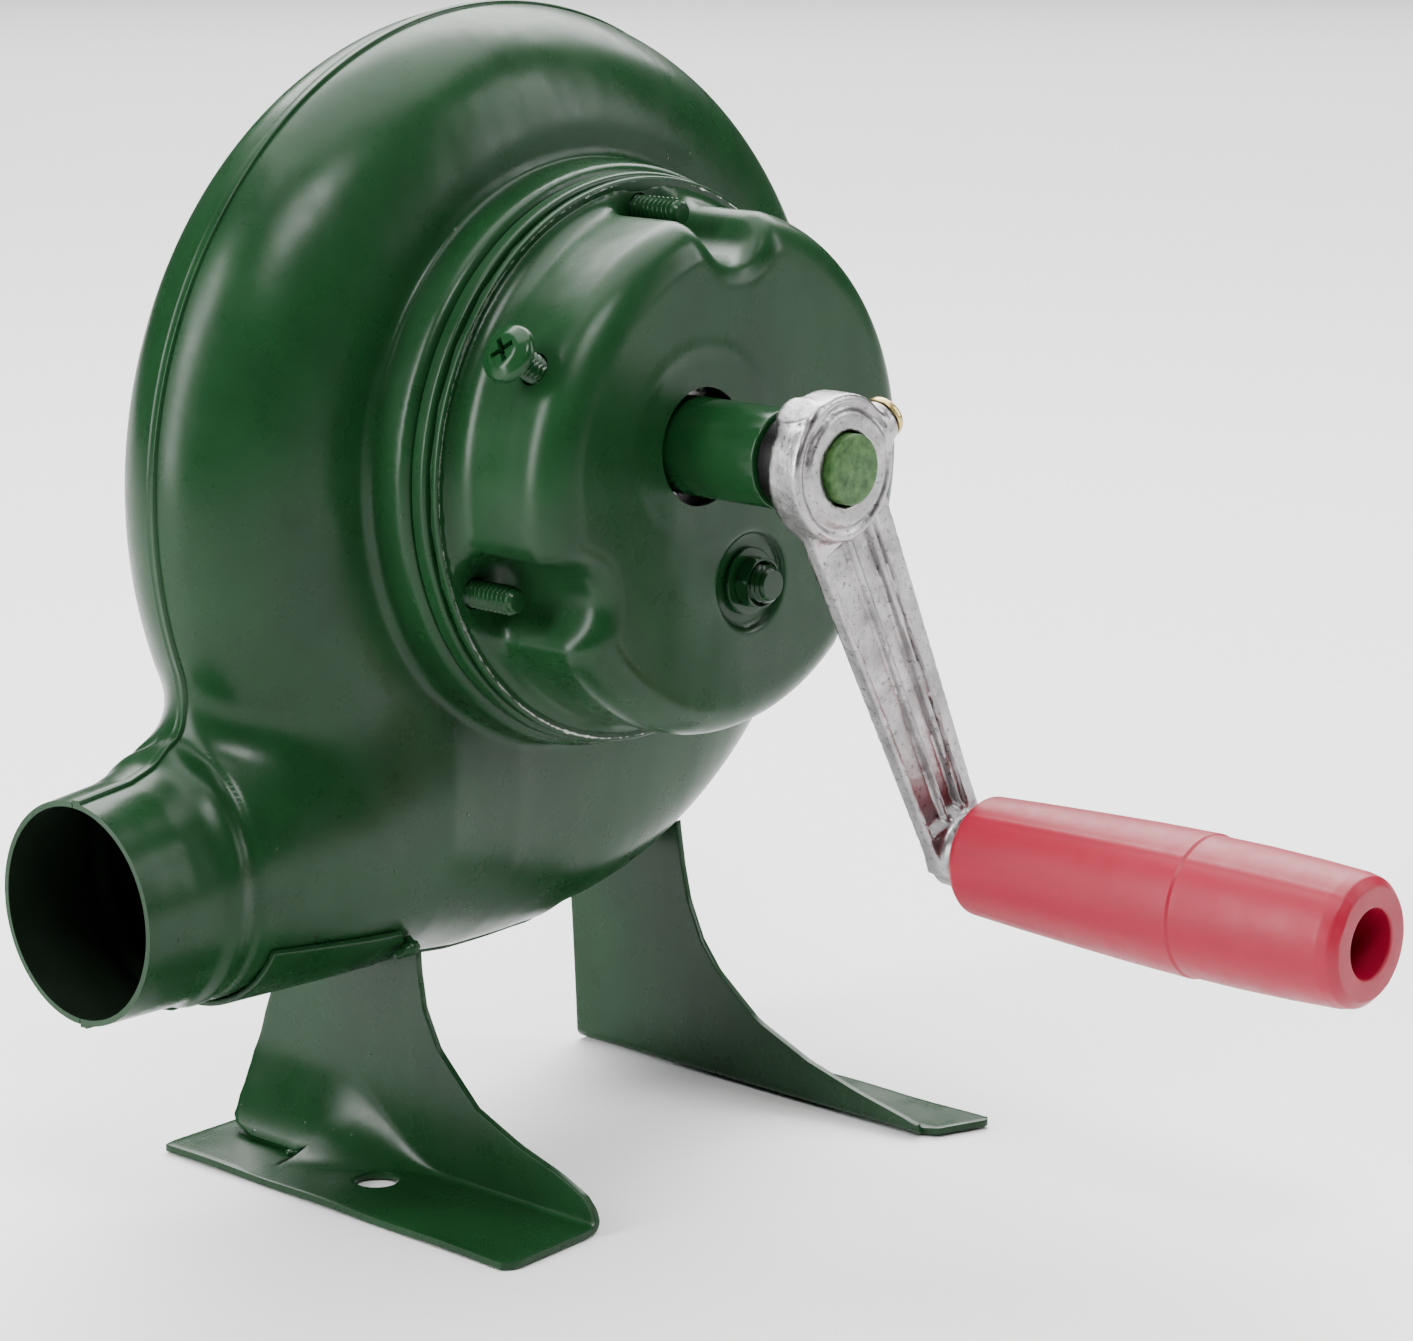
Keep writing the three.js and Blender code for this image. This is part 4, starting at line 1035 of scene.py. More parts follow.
def build_screws():
    head_seat = node_box("gearbox_back_plate")[1].y + 0.3
    tip = node_box("gearbox_screw_1")[0].y
    for index, degrees in enumerate(FLUTE_ANGLES):
        x, z = on_circle(SCREW_CIRCLE, degrees)
        add_screw(f"flange_screw_{index + 1}", f"gearbox_screw_{index + 1}", shifted(x, tip, z),
                  head_seat - tip, MATERIAL["screw"], "green_fastener", turn=35 * index)
    length = 7.0
    for index, degrees in enumerate(INTAKE_SCREW_ANGLES):
        x, z = on_circle(INTAKE_SCREW_CIRCLE, degrees)
        add_screw(f"intake_screw_{index + 1}", f"intake_cover_screw_{index + 1}",
                  shifted(x, INTAKE_DEPTH + 0.3 - length, z), length,
                  MATERIAL["screw"], "green_fastener", turn=17 + 40 * index)
    length = 14.0
    out = 64.0 - 3.2 - length

    def oil_place(points):
        return turned_to([(x, y + out, z) for x, y, z in points], OIL_ANGLE, OIL_Y)
    add_screw("oil_filler", "oil_filler_screw", oil_place, length,
              MATERIAL["screw"], "green_fastener", turn=40)


# ---------------------------------------------------------------- intake cover

def blade_hole(degrees, y_from, y_to):
    """A propeller-shaped opening as a cutter, with a curved outline."""
    outline = [(10, 2.5), (15, 3.6), (22, 5.5), (28, 7.6), (33, 9), (38, 9.8), (42, 9), (43.6, 5),
               (43.6, 0), (42, -5), (38, -8), (33, -8.6), (28, -8), (23, -6.4), (18, -4.5),
               (13, -3.2), (9, -2.5), (8.2, 0)]
    angle = math.radians(degrees)
    flat = [(x * math.cos(angle) - z * math.sin(angle), x * math.sin(angle) + z * math.cos(angle))
            for x, z in smooth_loop(outline)]
    count = len(flat)
    vertices = [(x, y_from, z) for x, z in flat] + [(x, y_to, z) for x, z in flat]
    faces = [tuple(range(count)), tuple(range(count, 2 * count))]
    faces += [(k, (k + 1) % count, count + (k + 1) % count, count + k) for k in range(count)]
    return vertices, faces


def smooth_loop(points):
    """Corner cutting of a closed outline, twice."""
    for _ in range(2):
        cut_points = []
        for a, b in zip(points, points[1:] + points[:1]):
            cut_points.append((a[0] * 0.75 + b[0] * 0.25, a[1] * 0.75 + b[1] * 0.25))
            cut_points.append((a[0] * 0.25 + b[0] * 0.75, a[1] * 0.25 + b[1] * 0.75))
        points = cut_points
    return points


def build_intake_cover():
    front = node_box("intake_cover")[1].y
    back = node_box("intake_cover")[0].y
    plate = front - 3.2
    profile = rounded([
        (3.0, plate - SHEET), (43.3, plate - SHEET), (45.5, front - 2.2), (46.2, plate - 1.0),
        (46.2, back), (61.0, back), (61.0, back + SHEET), (47.5, back + SHEET), (47.5, plate + 0.8),
        (45.6, front), (43.0, plate), (3.0, plate),
    ], [1.5, 0.8, 0.8, 0.8, 0.3, 0.3, 1.2, 1.2, 1.4, 2.0], 5)
    vertices, faces = lathe(profile, 180)
    piece = add_mesh(
        "intake_plate", vertices, faces, MATERIAL["casing"], "housing", ["intake_cover"])
    cutters = [cutter_mesh(*blade_hole(90 * k, plate - 5, front + 5)) for k in range(4)]
    for degrees in INTAKE_SCREW_ANGLES:
        at = on_circle(INTAKE_SCREW_CIRCLE, degrees)
        cutters.append(bore_cutter(SCREW_HOLE, (back - 3, back + 5), at))
    cut(piece, cutters)
    bevelled(piece, 0.25)
    sharpen(piece, 40)


# ---------------------------------------------------------------- crank arm

HUB_BACK, HUB_FRONT = -99.6, -107.5
HUB_RADIUS = 14.6
SHAFT_RADIUS = 7.0
ARM_LENGTH = math.hypot(HANDLE_X - CRANK_X, HANDLE_Z - CRANK_Z)
ARM_ANGLE = math.atan2(HANDLE_Z - CRANK_Z, HANDLE_X - CRANK_X)
ARM_BACK = -100.6
ARM_HALF_WIDTH = (12.0, 8.0)
BOSS_RADIUS = 7.8
BOSS_FRONT = -108.4
SET_SCREW_ANGLE = 26.0
SET_SCREW_Y = -103.5
# Height of the arm's front above its back, across its width from one edge to the other.
RIB_ACROSS = (-1.0, -0.88, -0.80, -0.24, -0.16, -0.08, -0.02, 0.34, 0.40, 0.46, 0.52, 0.58, 0.64, 1.0)
RIB_HEIGHT = (3.9, 3.9, 1.7, 1.8, 3.4, 3.2, 1.4, 1.8, 3.6, 3.6, 2.6, 4.1, 4.0, 3.6)


def arm_field(along, across, y):
    """The cast crank arm, in its own frame: along the arm, across it, and y."""
    t = np.clip(along / ARM_LENGTH, 0, 1)
    half = ARM_HALF_WIDTH[0] + (ARM_HALF_WIDTH[1] - ARM_HALF_WIDTH[0]) * t
    profile = np.interp(across / half, RIB_ACROSS, RIB_HEIGHT)
    near_end = smooth_share(along, ARM_LENGTH - 10.5, ARM_LENGTH - 8.0)
    near_hub = 1 - smooth_share(along, HUB_RADIUS + 0.2, HUB_RADIUS + 2.2)
    solid_share = np.maximum(near_end, near_hub)
    height = profile * (1 - solid_share) + 3.8 * solid_share
    front = (ARM_BACK - height) - y
    back = y - ARM_BACK
    side = np.abs(across) - half
    bar = smooth_max(smooth_max(front, back, 0.6), side, 1.0)
    bar = np.maximum(bar, np.maximum(-along, along - ARM_LENGTH))
    from_hub = np.hypot(along, across)
    past_hub = np.abs(y - (HUB_BACK + HUB_FRONT) / 2) - (HUB_BACK - HUB_FRONT) / 2
    hub = smooth_max(from_hub - HUB_RADIUS, past_hub, 1.2)
    groove = 0.5 * np.exp(-((from_hub - 12.3) / 0.5) ** 2)
    raised = 0.55 * (1 - smooth_share(from_hub, 11.0, 11.7))
    hub = np.where(y < HUB_FRONT + 2.5, hub + groove - raised, hub)
    from_end = np.hypot(along - ARM_LENGTH, across)
    boss_mid = (ARM_BACK + BOSS_FRONT) / 2
    boss = smooth_max(from_end - BOSS_RADIUS, np.abs(y - boss_mid) - (ARM_BACK - BOSS_FRONT) / 2, 1.2)
    body = smooth_min(smooth_min(bar, hub, 1.6), boss, 1.6)
    turn = math.radians(SET_SCREW_ANGLE) - ARM_ANGLE
    out = along * math.cos(turn) + across * math.sin(turn)
    off = np.hypot(-along * math.sin(turn) + across * math.cos(turn), y - SET_SCREW_Y)
    lug = smooth_max(off - 4.6, np.abs(out - 12.0) - 4.8, 1.0)
    body = smooth_min(body, lug, 1.6)
    turn = math.radians(128) - ARM_ANGLE
    ridge_out = along * math.cos(turn) + across * math.sin(turn)
    ridge_off = np.hypot(-along * math.sin(turn) + across * math.cos(turn), (y + 102.4) * 0.8)
    body = smooth_min(body, np.maximum(ridge_off - 3.0, np.abs(ridge_out - 7) - 7.6), 3.0)
    ripple = (0.05 * np.sin(along * 1.9 + across) * np.sin(across * 2.3 + y * 1.7)
              * np.sin(y * 2.9 + along * 0.6))
    bore = SHAFT_RADIUS + 0.45 - from_hub
    pin = 4.2 - from_end
    return smooth_max(smooth_max(body + ripple, bore, 0.6), pin, 0.4)


def build_crank():
    def own_field(points):
        return arm_field(points[:, 0], points[:, 2], points[:, 1])
    vertices, faces = implicit_mesh(
        own_field, (-19, -110, -19), (ARM_LENGTH + 11, -98, 19), CAST_CELL, rounds=1)
    c, s = math.cos(ARM_ANGLE), math.sin(ARM_ANGLE)
    placed = np.stack([
        CRANK_X + vertices[:, 0] * c - vertices[:, 2] * s,
        vertices[:, 1],
        CRANK_Z + vertices[:, 0] * s + vertices[:, 2] * c,
    ], 1)
    arm = add_mesh("crank_arm_casting", placed, faces, MATERIAL["aluminium"],
                   "crank", ["crank_arm"])
    points, quads = capped_lathe([(2.8, 5.0), (2.8, 22.0)], 40)
    cut(arm, [cutter_mesh(turned_to(points, SET_SCREW_ANGLE, SET_SCREW_Y, (CRANK_X, CRANK_Z)), quads)])
    sharpen(arm, 45)

    end = node_box("crank_shaft")[0].y
    crank = (CRANK_X, CRANK_Z)
    profile = rounded([
        (0.5, end), (SHAFT_RADIUS, end), (SHAFT_RADIUS, -55.0), (4.5, -55.0), (4.5, -29.0), (0.5, -29.0),
    ], [0.7, 0.3, 0.3, 0.4], 5)
    crisp_piece("crank_shaft_bar", capped_lathe(profile, 96, crank), "worn",
                ["crank_shaft"], "crank")

    profile = rounded([
        (SHAFT_RADIUS + 0.15, -92.0), (10.0, -92.0), (10.0, -65.0), (SHAFT_RADIUS + 0.15, -65.0),
        (SHAFT_RADIUS + 0.15, -92.0),
    ], [0.5, 0.3, 0.2], 5)[:-1]
    crisp_piece("crank_sleeve", lathe(profile, 128, crank), "sleeve", ["crank_bush"])

    # The spacer ring between the sleeve and the hub is near-black: a real spacer whose black also stands for
    # painted shade in that gap.
    profile = rounded([
        (SHAFT_RADIUS + 0.3, -99.2), (9.2, -99.2), (9.2, -96.6), (8.6, -96.2), (9.2, -95.8), (9.2, -92.4),
        (SHAFT_RADIUS + 0.3, -92.4), (SHAFT_RADIUS + 0.3, -99.2),
    ], [0.4, 0.3, 0.2, 0.3, 0.4, 0.2], 4)[:-1]
    crisp_piece("crank_spacer_ring", lathe(profile, 96, crank), "black",
                ["crank_spacer"], "crank")

    def screw_place(points):
        moved = [(x, y + SHAFT_RADIUS + 0.3, z) for x, y, z in points]
        return turned_to(moved, SET_SCREW_ANGLE, SET_SCREW_Y, crank)
    add_screw("set_screw", "crank_set_screw", screw_place, HUB_RADIUS + 2.2 - SHAFT_RADIUS,
              MATERIAL["zinc"], "zinc_screw", body="crank", turn=64, cross=False,
              head_radius=4.4, head_height=2.6, shank=2.5, pitch=0.8)


# ---------------------------------------------------------------- grip

def build_grip():
    low, high = node_box("handle_grip")
    start, end = high.y, low.y
    length = start - end
    step = start - length * 0.60
    bore, depth = 7.0, 30.0
    profile = rounded([
        (4.4, start), (11.2, start), (12.5, start - 1.6), (13.1, start - 0.14 * length),
        (13.75, start - 0.30 * length), (14.3, start - 0.45 * length), (14.6, step + 0.3),
        (14.25, step - 0.3), (14.3, start - 0.72 * length), (14.0, start - 0.85 * length),
        (13.5, end + 4.0), (13.0, end + 1.6), (11.4, end),
        (bore, end), (bore, end + depth), (4.4, end + depth), (4.4, start),
    ], [1.0, 1.6, 20.0, 20.0, 20.0, 0.25, 0.25, 20.0, 12.0, 3.0, 1.4, 1.0, 0.5, 0.6, 0.3], 7)[:-1]
    points, quads = lathe(profile, 160, (HANDLE_X, HANDLE_Z))
    centre = np.array([HANDLE_X, 0.0, HANDLE_Z])
    shaped = []
    for point in points:
        x, y, z = point
        dx, dz = x - centre[0], z - centre[2]
        radius = math.hypot(dx, dz)
        turn = math.atan2(dz, dx)
        grow = 0.05 * math.sin(2 * turn + y * 0.05) if radius > 9 else 0.0
        seam = 0.12 * math.exp(-(math.sin(turn - 2.2) * radius / 0.5) ** 2) if radius > 11.5 else 0.0
        nick_off = ((turn - 2.6) / 0.16) ** 2 + ((y - end - 0.6) / 1.2) ** 2
        nick = 0.5 * math.exp(-nick_off) if radius > 9 else 0.0
        k = (radius + grow + seam - nick) / radius
        shaped.append((centre[0] + dx * k, y, centre[2] + dz * k))
    crisp_piece("grip_sleeve", (shaped, quads), "red", ["handle_grip"], "grip", 40)


# ---------------------------------------------------------------- feet

FOOT_CLEARANCE = 0.25


def casing_bottom(x, y):
    """Height of the casing's underside at a place, less a clearance."""
    lows = np.arange(-114.0, -40.0, 0.5)
    column = np.stack([np.full_like(lows, x), np.full_like(lows, y), lows], 1)
    value = casing(column)
    inside = int(np.argmax(value < 0))
    if inside == 0:
        return -80.0
    a, b = value[inside - 1], value[inside]
    return float(lows[inside - 1] + 0.5 * a / (a - b)) - FOOT_CLEARANCE


def edge(points):
    """Reads y off an edge given as (y, z) points, at any height."""
    ordered = sorted(points, key=lambda point: point[1])
    heights = [z for _, z in ordered]
    places = [y for y, _ in ordered]
    return lambda z: float(np.interp(z, heights, places))


FRONT_FOOT = {
    "web_x": -44.1, "outward": -1, "reach": -71.8,
    "back": [(17.0, -96.0), (23.7, -113.0), (27.8, -123.5), (30.9, -133.3), (31.0, -138.0), (30.2, -142.0),
             (28.0, -144.8), (25.0, -146.0), (19.0, -146.6)],
    "front": [(-17.0, -96.0), (-20.3, -98.6), (-20.6, -104.0), (-22.0, -112.0), (-26.2, -120.0),
              (-37.4, -130.4), (-49.6, -135.6), (-61.1, -139.0), (-68.2, -142.0), (-70.6, -144.4),
              (-71.4, -146.7)],
    "sole_back": (32.2, 31.6), "sole_front": (-71.6, -73.0), "corner": 2.2,
    "top": -96.0, "slit": 3.5, "soft": (-28.0, 8.0, 19.5), "hole": (-56.5, -18.7, 4.75),
}
REAR_FOOT = {
    "web_x": 43.1, "outward": 1, "reach": 60.0,
    "back": [(22.4, -92.0), (21.4, -114.7), (19.6, -146.6)],
    "front": [(-11.8, -84.0), (-12.4, -91.0), (-13.6, -101.0), (-15.5, -109.1), (-19.4, -117.4),
              (-24.6, -123.7), (-36.7, -132.9), (-51.5, -139.0), (-66.0, -143.0), (-80.0, -145.9),
              (-83.0, -146.7)],
    "sole_back": (19.5, 21.5), "sole_front": (-85.4, -90.6), "corner": 1.6,
    "top": -88.0, "slit": None, "soft": (0.0, 1.0, 0.0), "hole": None,
}
FOOT_SHEET = 1.5
BEND_RADIUS = 2.6
WEB_CROWN = 12.0             # height over which the web's rows ease from the casing's contour
FOOT_COLUMNS = 72
SLIT_COLUMNS = 18
BEND_ROWS = 8
SOLE_ROWS = 14
SLIT_SHARE = 0.25
LOBE_DROP = 0.9              # how far the loose back corner of the web hangs over the sole


def bend_radius(foot, y):
    start, end, extra = foot["soft"]
    return BEND_RADIUS + extra * smooth_share(y, start, end)


def across(foot, back, front, share):
    """y at a share of the way from the back edge to the front edge, with a column on the slit."""
    slit = foot["slit"]
    if slit is None:
        return back + (front - back) * share
    if share <= SLIT_SHARE:
        return back + (slit - back) * share / SLIT_SHARE
    return slit + (front - slit) * (share - SLIT_SHARE) / (1 - SLIT_SHARE)


def lobe(foot, share):
    return foot["slit"] is not None and share < SLIT_SHARE - 1e-6


def web_rows(foot, shares):
    """Rows of the upright web, from the casing's contour down to the start of the bend."""
    back, front = edge(foot["back"]), edge(foot["front"])
    top, last = foot["top"], FLOOR_Z + BEND_RADIUS
    crown_y = [across(foot, back(top), front(top), share) for share in shares]
    crown_z = [casing_bottom(foot["web_x"], y) for y in crown_y]
    rows = []
    blend = top - WEB_CROWN
    heights = list(np.linspace(top, blend, 8)) + list(np.linspace(blend, last, 44)[1:])
    for height in heights:
        ease = min(1.0, (top - height) / WEB_CROWN)
        row = []
        for share, crown in zip(shares, crown_z):
            y = across(foot, back(height), front(height), share)
            z = crown + (blend - crown) * ease if ease < 1 else height
            if lobe(foot, share):
                z -= LOBE_DROP * smooth_share(-z, 138.0, -last)
            radius = bend_radius(foot, y)
            sunk = max(0.0, FLOOR_Z + radius - z)
            out = radius - math.sqrt(max(radius ** 2 - sunk ** 2, 0.0))
            sway = 0.3 * math.sin(0.07 * y + 1.0) * math.sin(0.06 * (z - FLOOR_Z)) * ease
            row.append((foot["web_x"] + foot["outward"] * out + sway, y, z))
        rows.append(row)
    return rows


def bend_rows(foot, shares):
    """Rows that finish the bend. Behind the slit they only mark the inner edge of the sole."""
    back, front = edge(foot["back"]), edge(foot["front"])
    low = FLOOR_Z + BEND_RADIUS
    rows = []
    for step in range(1, BEND_ROWS + 1):
        ease = step / BEND_ROWS
        row = []
        for share in shares:
            y = across(foot, foot["sole_back"][0] if lobe(foot, share) else back(low), front(low), share)
            radius = bend_radius(foot, y)
            start = math.asin(1 - min(1.0, BEND_RADIUS / radius))
            turn = start + (math.pi / 2 - start) * ease
            x = foot["web_x"] + foot["outward"] * radius * (1 - math.cos(turn))
            if lobe(foot, share):
                hidden = 1 - smooth_share(y, foot["slit"], foot["slit"] + 6.0)
                x = foot["web_x"] + foot["outward"] * (3.0 + (radius - 3.0) * hidden)
            row.append((x, y, FLOOR_Z + radius * (1 - math.sin(turn))))
            if lobe(foot, share):
                row[-1] = (x, y, FLOOR_Z)
        rows.append(row)
    return rows


def sole_rows(foot, shares, inner_row):
    back = edge(foot["back"])(FLOOR_Z + BEND_RADIUS)
    rows = []
    for step in range(1, SOLE_ROWS + 1):
        ease = step / SOLE_ROWS
        row = []
        for share, inner in zip(shares, inner_row):
            corner = foot["corner"] * max(0.0, (ease - 0.86) / 0.14) ** 2
            rear = foot["sole_back"][0] + (foot["sole_back"][1] - foot["sole_back"][0]) * ease - corner * 0.3
            if foot["slit"] is None:
                rear = back + (rear - back) * min(1.0, ease * 4)
            fore = foot["sole_front"][0] + (foot["sole_front"][1] - foot["sole_front"][0]) * ease + corner
            y = across(foot, rear, fore, share)
            x = inner[0] + (foot["reach"] - inner[0]) * ease
            row.append((x, y, FLOOR_Z + 0.25 * math.sin(0.09 * y) ** 2))
        rows.append(row)
    return rows


def foot_sheet(name, node, foot):
    """A pressed sheet foot: a web up to the casing and a sole folded outwards at the floor."""
    shares = list(np.linspace(0, SLIT_SHARE, SLIT_COLUMNS + 1))
    shares += list(np.linspace(SLIT_SHARE, 1, FOOT_COLUMNS - SLIT_COLUMNS)[1:])
    web = web_rows(foot, shares)
    bend = bend_rows(foot, shares)
    rows = web + bend + sole_rows(foot, shares, bend[-1])
    columns = len(shares)
    cut_rows = range(len(web) - 1, len(web) + len(bend) - 1)
    faces = []
    for row in range(len(rows) - 1):
        for column in range(columns - 1):
            if row in cut_rows and lobe(foot, shares[column]):
                continue
            a = row * columns + column
            faces.append((a, a + 1, a + columns + 1, a + columns))
    used = sorted({index for face in faces for index in face})
    place = {old: new for new, old in enumerate(used)}
    flat = [point for row in rows for point in row]
    points = [flat[index] for index in used]
    faces = [tuple(place[index] for index in face) for face in faces]
    piece = add_mesh(name, points, faces, MATERIAL["foot"], "housing", [node])
    turn_underside_down(piece)
    thicken(piece, FOOT_SHEET, even=False)
    apply_modifiers(piece)
    if foot["hole"]:
        x, y, size = foot["hole"]
        cut(piece, [round_cutter(size, (x, y, FLOOR_Z - 4), (x, y, FLOOR_Z + 6))])
    bevelled(piece)
    sharpen(piece, 42)
    return piece


def turn_underside_down(piece):
    """Flips an open sheet if the face at its lowest place looks up."""
    lowest = min(piece.data.polygons, key=lambda face: face.center.z)
    if lowest.normal.z > 0:
        piece.data.flip_normals()


def round_cutter(radius, start, end, sides=64):
    """A round bar between two points that are in line with X or Z."""
    start, end = Vector(start), Vector(end)
    turn = (end - start).to_track_quat("Z", "Y")
    vertices = []
    for base in (start, end):
        for side in range(sides):
            angle = 2 * math.pi * side / sides
            spoke = Vector((radius * math.cos(angle), radius * math.sin(angle), 0))
            vertices.append(tuple(base + turn @ spoke))
    faces = [tuple(range(sides)), tuple(range(sides, 2 * sides))]
    faces += [(k, (k + 1) % sides, sides + (k + 1) % sides, sides + k) for k in range(sides)]
    return cutter_mesh(vertices, faces)


SADDLE_X = (-88.8, -49.5)
SADDLE_TURN = (-24.0, 66.0)     # degrees from straight down, positive towards the crank side
SADDLE_SHEET = 1.3
SADDLE_COLUMNS = 46


def underside(x, turn, centre):
    """The point of the casing's surface at x, in a direction turned from straight down."""
    reach = np.arange(10.0, 50.0, 0.25)
    line = np.stack([
        np.full_like(reach, x), -math.sin(turn) * reach, centre - math.cos(turn) * reach,
    ], 1)
    value = casing(line)
    first = int(np.argmax(value > 0))
    a, b = value[first - 1], value[first]
    at = reach[first - 1] + 0.25 * a / (a - b) + 0.25
    return x, -math.sin(turn) * at, centre - math.cos(turn) * at


def build_saddle():
    """The curved flange of the front foot that is welded to the underside of the duct."""
    xs = np.linspace(SADDLE_X[0], SADDLE_X[1], 44)
    vertices = []
    for x in xs:
        along = (x - SADDLE_X[0]) / (SADDLE_X[1] - SADDLE_X[0])
        centre = float(np.interp(x, DUCT_X, DUCT_BOTTOM)) + PIPE_RADIUS
        high = SADDLE_TURN[1] - 10.0 * along
        high -= 7.0 * max(0.0, 1 - (SADDLE_X[1] - x) / 3.0) ** 2
        for turn in np.radians(np.linspace(SADDLE_TURN[0], high, SADDLE_COLUMNS)):
            vertices.append(underside(x + 3.0 * math.sin(turn), turn, centre))
    count = SADDLE_COLUMNS
    faces = [
        (r * count + k, r * count + k + 1, (r + 1) * count + k + 1, (r + 1) * count + k)
        for r in range(len(xs) - 1) for k in range(count - 1)
    ]
    piece = add_mesh(
        "front_foot_saddle", vertices, faces, MATERIAL["foot"], "housing", ["front_foot"])
    turn_underside_down(piece)
    thicken(piece, SADDLE_SHEET, 1.0, even=False)
    apply_modifiers(piece)
    bevelled(piece)
    sharpen(piece, 42)


# Weld beads of the feet: strings of (place, radius).
WELDS = (
    ((-45.6, 17.5, -98.0), 2.0), ((-46.0, 17.9, -100.2), 1.7), ((-46.3, 18.3, -102.2), 1.3),
    ((-46.0, -19.8, -99.0), 1.5), ((-47.4, -19.2, -99.6), 1.3), ((-48.8, -18.4, -100.2), 1.1),
    ((-55.4, 4.4, -146.4), 1.1), ((-57.0, 5.2, -147.0), 1.0), ((-58.4, 6.4, -147.3), 0.9),
)
WELD_BOXES = (
    ((-52, 13, -106), (-42, 22, -94)),
    ((-52, -24, -104), (-42, -15, -95)),
    ((-67, 0, -149.1), (-53, 8, -143)),
)


def weld(points):
    distance = np.full(len(points), 50.0)
    for place, radius in WELDS:
        off = np.linalg.norm(points - np.array(place), axis=1) - radius
        distance = smooth_min(distance, off, 1.0)
    x, y, z = points[:, 0], points[:, 1], points[:, 2]
    return distance + 0.15 * np.sin(x * 2.7) * np.sin(y * 3.1 + 1) * np.sin(z * 2.9 + 2)


def build_welds():
    for index, (low, high) in enumerate(WELD_BOXES):
        shape = implicit_mesh(weld, low, high, 0.45, rounds=1)
        crisp_piece(f"foot_weld_{index + 1}", shape, "foot", ["front_foot"], degrees=60)


def build_feet():
    foot_sheet("front_foot_sheet", "front_foot", FRONT_FOOT)
    foot_sheet("rear_foot_sheet", "rear_foot", REAR_FOOT)
    build_saddle()
    build_welds()


# ---------------------------------------------------------------- idler stud in the drum's dimple

STUD_RADIUS = 4.0


def build_stud():
    seat = DRUM_FACE + DIMPLE_DEPTH - 0.3
    tip = node_box("idler_stud")[0].y
    back = node_box("idler_stud")[1].y
    threads, rows = thread_rows(STUD_RADIUS, tip + 0.6, seat + 3.0, 1.25, 0.65)
    rings = ring_points(0.5, tip) + ring_points(3.0, tip + 0.05) + threads
    for radius, y in ((STUD_RADIUS, seat + 3.2), (STUD_RADIUS, back - 2.6), (6.0, back - 2.5),
                      (6.0, back), (0.5, back)):
        rings += ring_points(radius, y)
    points, quads = ringed(rings, rows + 7, THREAD_SIDES)
    placed = [(x + IDLER_X, y, z + IDLER_Z) for x, y, z in points]
    crisp_piece("idler_stud_bar", (placed, quads), "screw", ["idler_stud"])

    profile = rounded([
        (4.3, seat), (7.0, seat), (7.0, seat - 1.0), (4.3, seat - 1.0), (4.3, seat),
    ], [0.25, 0.3, 0.2], 4)[:-1]
    crisp_piece("idler_washer", lathe(profile, 64, (IDLER_X, IDLER_Z)), "screw",
                ["idler_stud_washer"])
    crisp_piece("idler_nut", hex_nut(), "screw", ["idler_stud_nut"])


def hex_nut(sides=96):
    """A hexagon with its corners turned off at both ends, and a bore with chamfers."""
    low, high = node_box("idler_stud_nut")
    levels = [low.y, low.y + 0.6, high.y - 0.6, high.y]
    ends = (levels[0], levels[3])
    turns = [2 * math.pi * side / sides for side in range(sides)]
    rings = []
    for level in levels:
        limit = 5.25 if level in ends else 5.75
        for turn in turns:
            hexed = 5.02 / math.cos((turn + 0.22) % (math.pi / 3) - math.pi / 6)
            out = min(hexed, limit)
            rings.append((IDLER_X + out * math.cos(turn), level, IDLER_Z + out * math.sin(turn)))
    for level in reversed(levels):
        out = 4.75 if level in ends else 4.3
        for turn in turns:
            rings.append((IDLER_X + out * math.cos(turn), level, IDLER_Z + out * math.sin(turn)))
    points, quads = ringed(rings, 8, sides, caps=False)
    quads += [(7 * sides + s, 7 * sides + (s + 1) % sides, (s + 1) % sides, s) for s in range(sides)]
    return points, quads


# ---------------------------------------------------------------- finishes of the carried-over CAD nodes

def dress_nodes():
    finish = {
        "gearbox_gasket": "gasket", "impeller_bush": "bronze", "crank_rear_bush": "bronze",
        "impeller_disc": "fan", "impeller_hub": "fan", "handle_pin": "steel",
    }
    for name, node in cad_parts.items():
        key = finish.get(name, "fan" if name.startswith("impeller_blade") else "steel")
        material = MATERIAL[key]
        for slot in node.material_slots:
            slot.material = material


# ---------------------------------------------------------------- floor, light and camera

def wall_material(name, tone):
    material, tree, surface = shader(name)
    space = texture_space(tree)
    shade = ramp(tree, noise(tree, space, 3.0, 3.0), [(0.3, tone * 0.985), (0.7, tone)])
    tree.links.new(shade, surface.inputs["Base Color"])
    surface.inputs["Roughness"].default_value = 0.6
    return material


FLOOR_DROP = -0.0004


def build_floor():
    work = bmesh.new()
    bmesh.ops.create_grid(work, x_segments=2, y_segments=2, size=6.0)
    mesh = bpy.data.meshes.new("floor")
    work.to_mesh(mesh)
    work.free()
    floor = bpy.data.objects.new("floor", mesh)
    floor.location.z = FLOOR_DROP
    bpy.context.scene.collection.objects.link(floor)
    mesh.materials.append(wall_material("floor_paper", 0.86))


TARGET = ORIGIN + Vector((66.56, 0.0, -62.21)) * MM
AZIMUTH = math.radians(-47.747)
ELEVATION = math.radians(12.959)
CAMERA_DISTANCE = 0.90284
LENS = 100.1
SENSOR = 36.0


def back_vector(azimuth, elevation):
    return Vector((
        math.sin(azimuth) * math.cos(elevation),
        -math.cos(azimuth) * math.cos(elevation),
        math.sin(elevation),
    ))


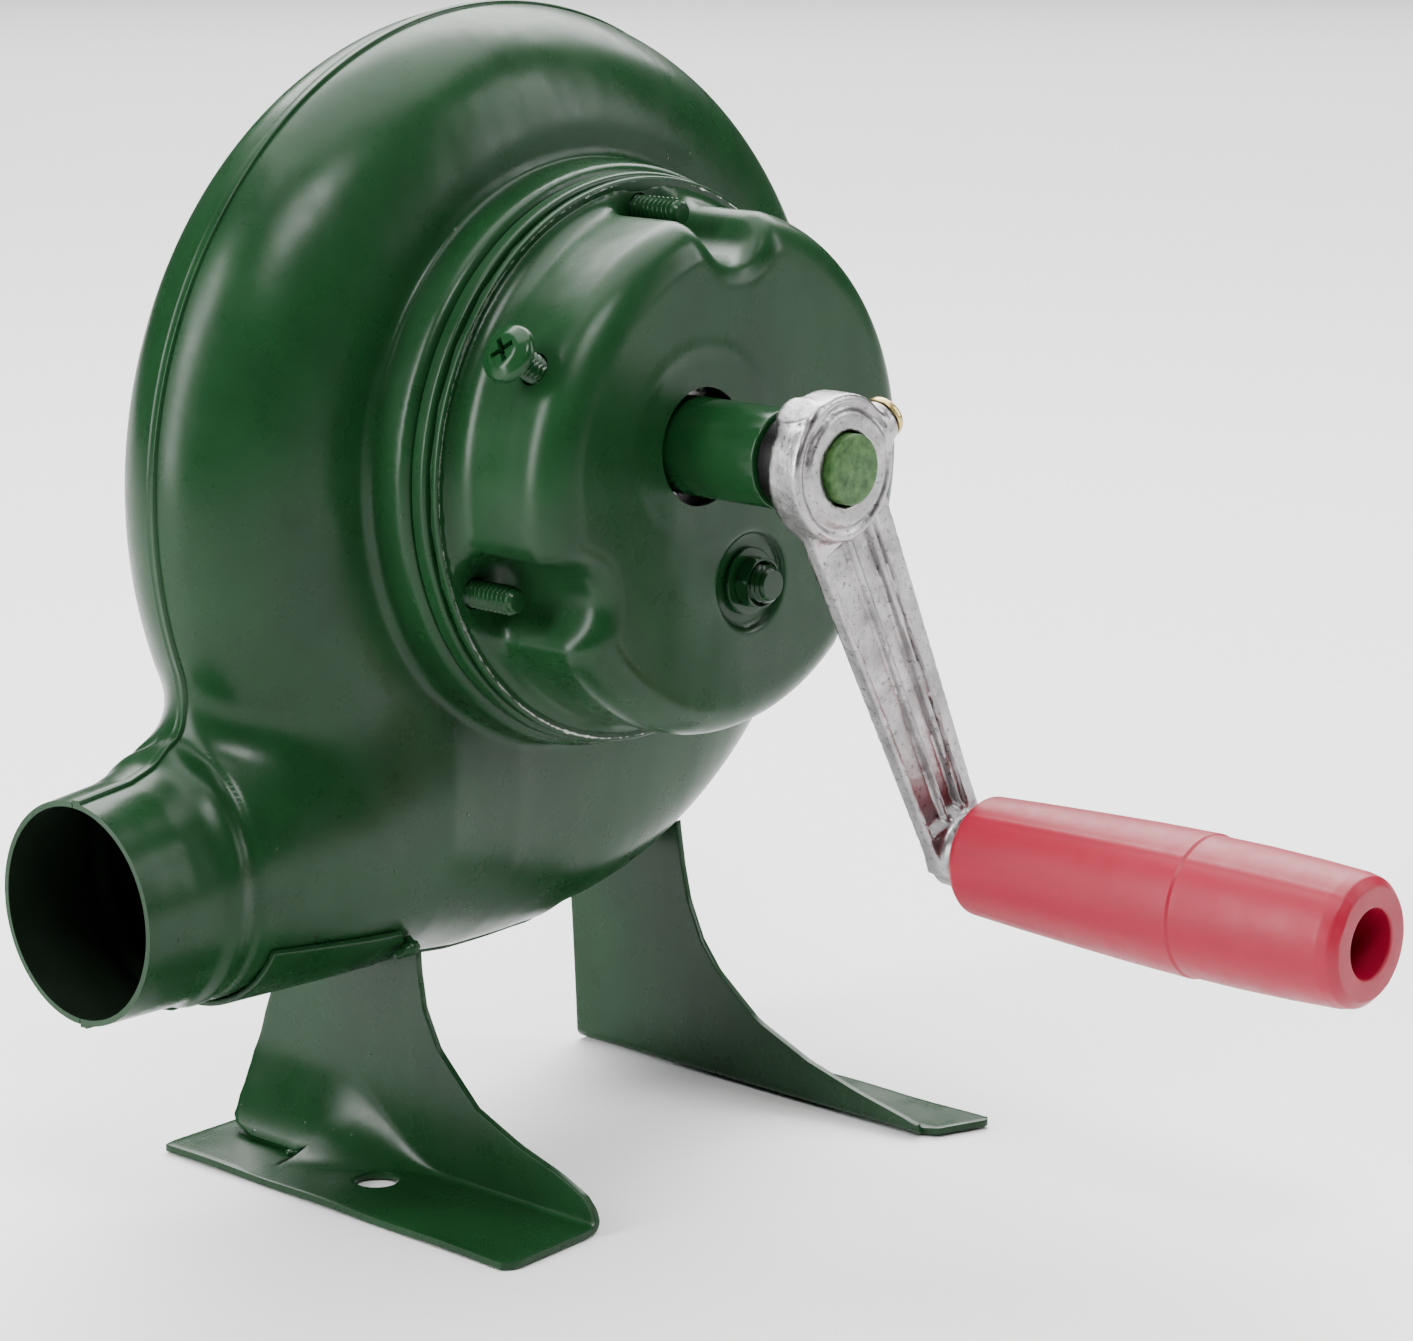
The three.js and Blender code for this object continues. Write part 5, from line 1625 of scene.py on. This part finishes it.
def add_camera():
    camera = bpy.data.objects.new("camera", bpy.data.cameras.new("camera"))
    camera.data.lens = LENS
    camera.data.sensor_width = SENSOR
    camera.data.clip_end = 50
    away = back_vector(AZIMUTH, ELEVATION)
    camera.location = TARGET + away * CAMERA_DISTANCE
    camera.rotation_euler = (-away).to_track_quat("-Z", "Y").to_euler()
    bpy.context.scene.collection.objects.link(camera)
    bpy.context.scene.camera = camera


def add_softbox(name, azimuth, elevation, distance, size, power):
    light = bpy.data.lights.new(name, "AREA")
    light.shape = "RECTANGLE"
    light.size, light.size_y = size
    light.energy = power
    lamp = bpy.data.objects.new(name, light)
    away = back_vector(math.radians(azimuth), math.radians(elevation))
    lamp.location = Vector((0, 0, 0.11)) + away * distance
    lamp.rotation_euler = (-away).to_track_quat("-Z", "Y").to_euler()
    bpy.context.scene.collection.objects.link(lamp)


def sky(world):
    """A soft studio surround: bright overhead, pale at the sides, dim towards the floor."""
    world.use_nodes = True
    tree = world.node_tree
    background = tree.nodes["Background"]
    place = tree.nodes.new("ShaderNodeTexCoord")
    split = tree.nodes.new("ShaderNodeSeparateXYZ")
    tree.links.new(place.outputs["Generated"], split.inputs["Vector"])
    shade = ramp(tree, split.outputs["Z"], [(0.0, 0.10), (0.49, 0.30), (0.53, 0.55), (1.0, 1.0)])
    tree.links.new(shade, background.inputs["Color"])
    background.inputs["Strength"].default_value = 0.35


def light_studio():
    world = bpy.data.worlds.new("studio")
    bpy.context.scene.world = world
    sky(world)
    add_softbox("left_softbox", -112, 22, 1.6, (0.4, 1.3), 34)
    add_softbox("front_softbox", -40, 54, 1.6, (0.5, 0.4), 17)
    add_softbox("right_softbox", 46, 26, 1.7, (0.35, 1.2), 16)
    add_softbox("top_softbox", 150, 74, 1.5, (1.6, 1.6), 44)
    add_softbox("far_wash", 132, 42, 4.6, (5.0, 3.0), 420)


dress_nodes()
build_casing()
build_gearbox_cover()
build_base_ring()
build_intake_cover()
build_screws()
build_crank()
build_grip()
build_feet()
build_stud()
build_floor()
add_camera()
light_studio()
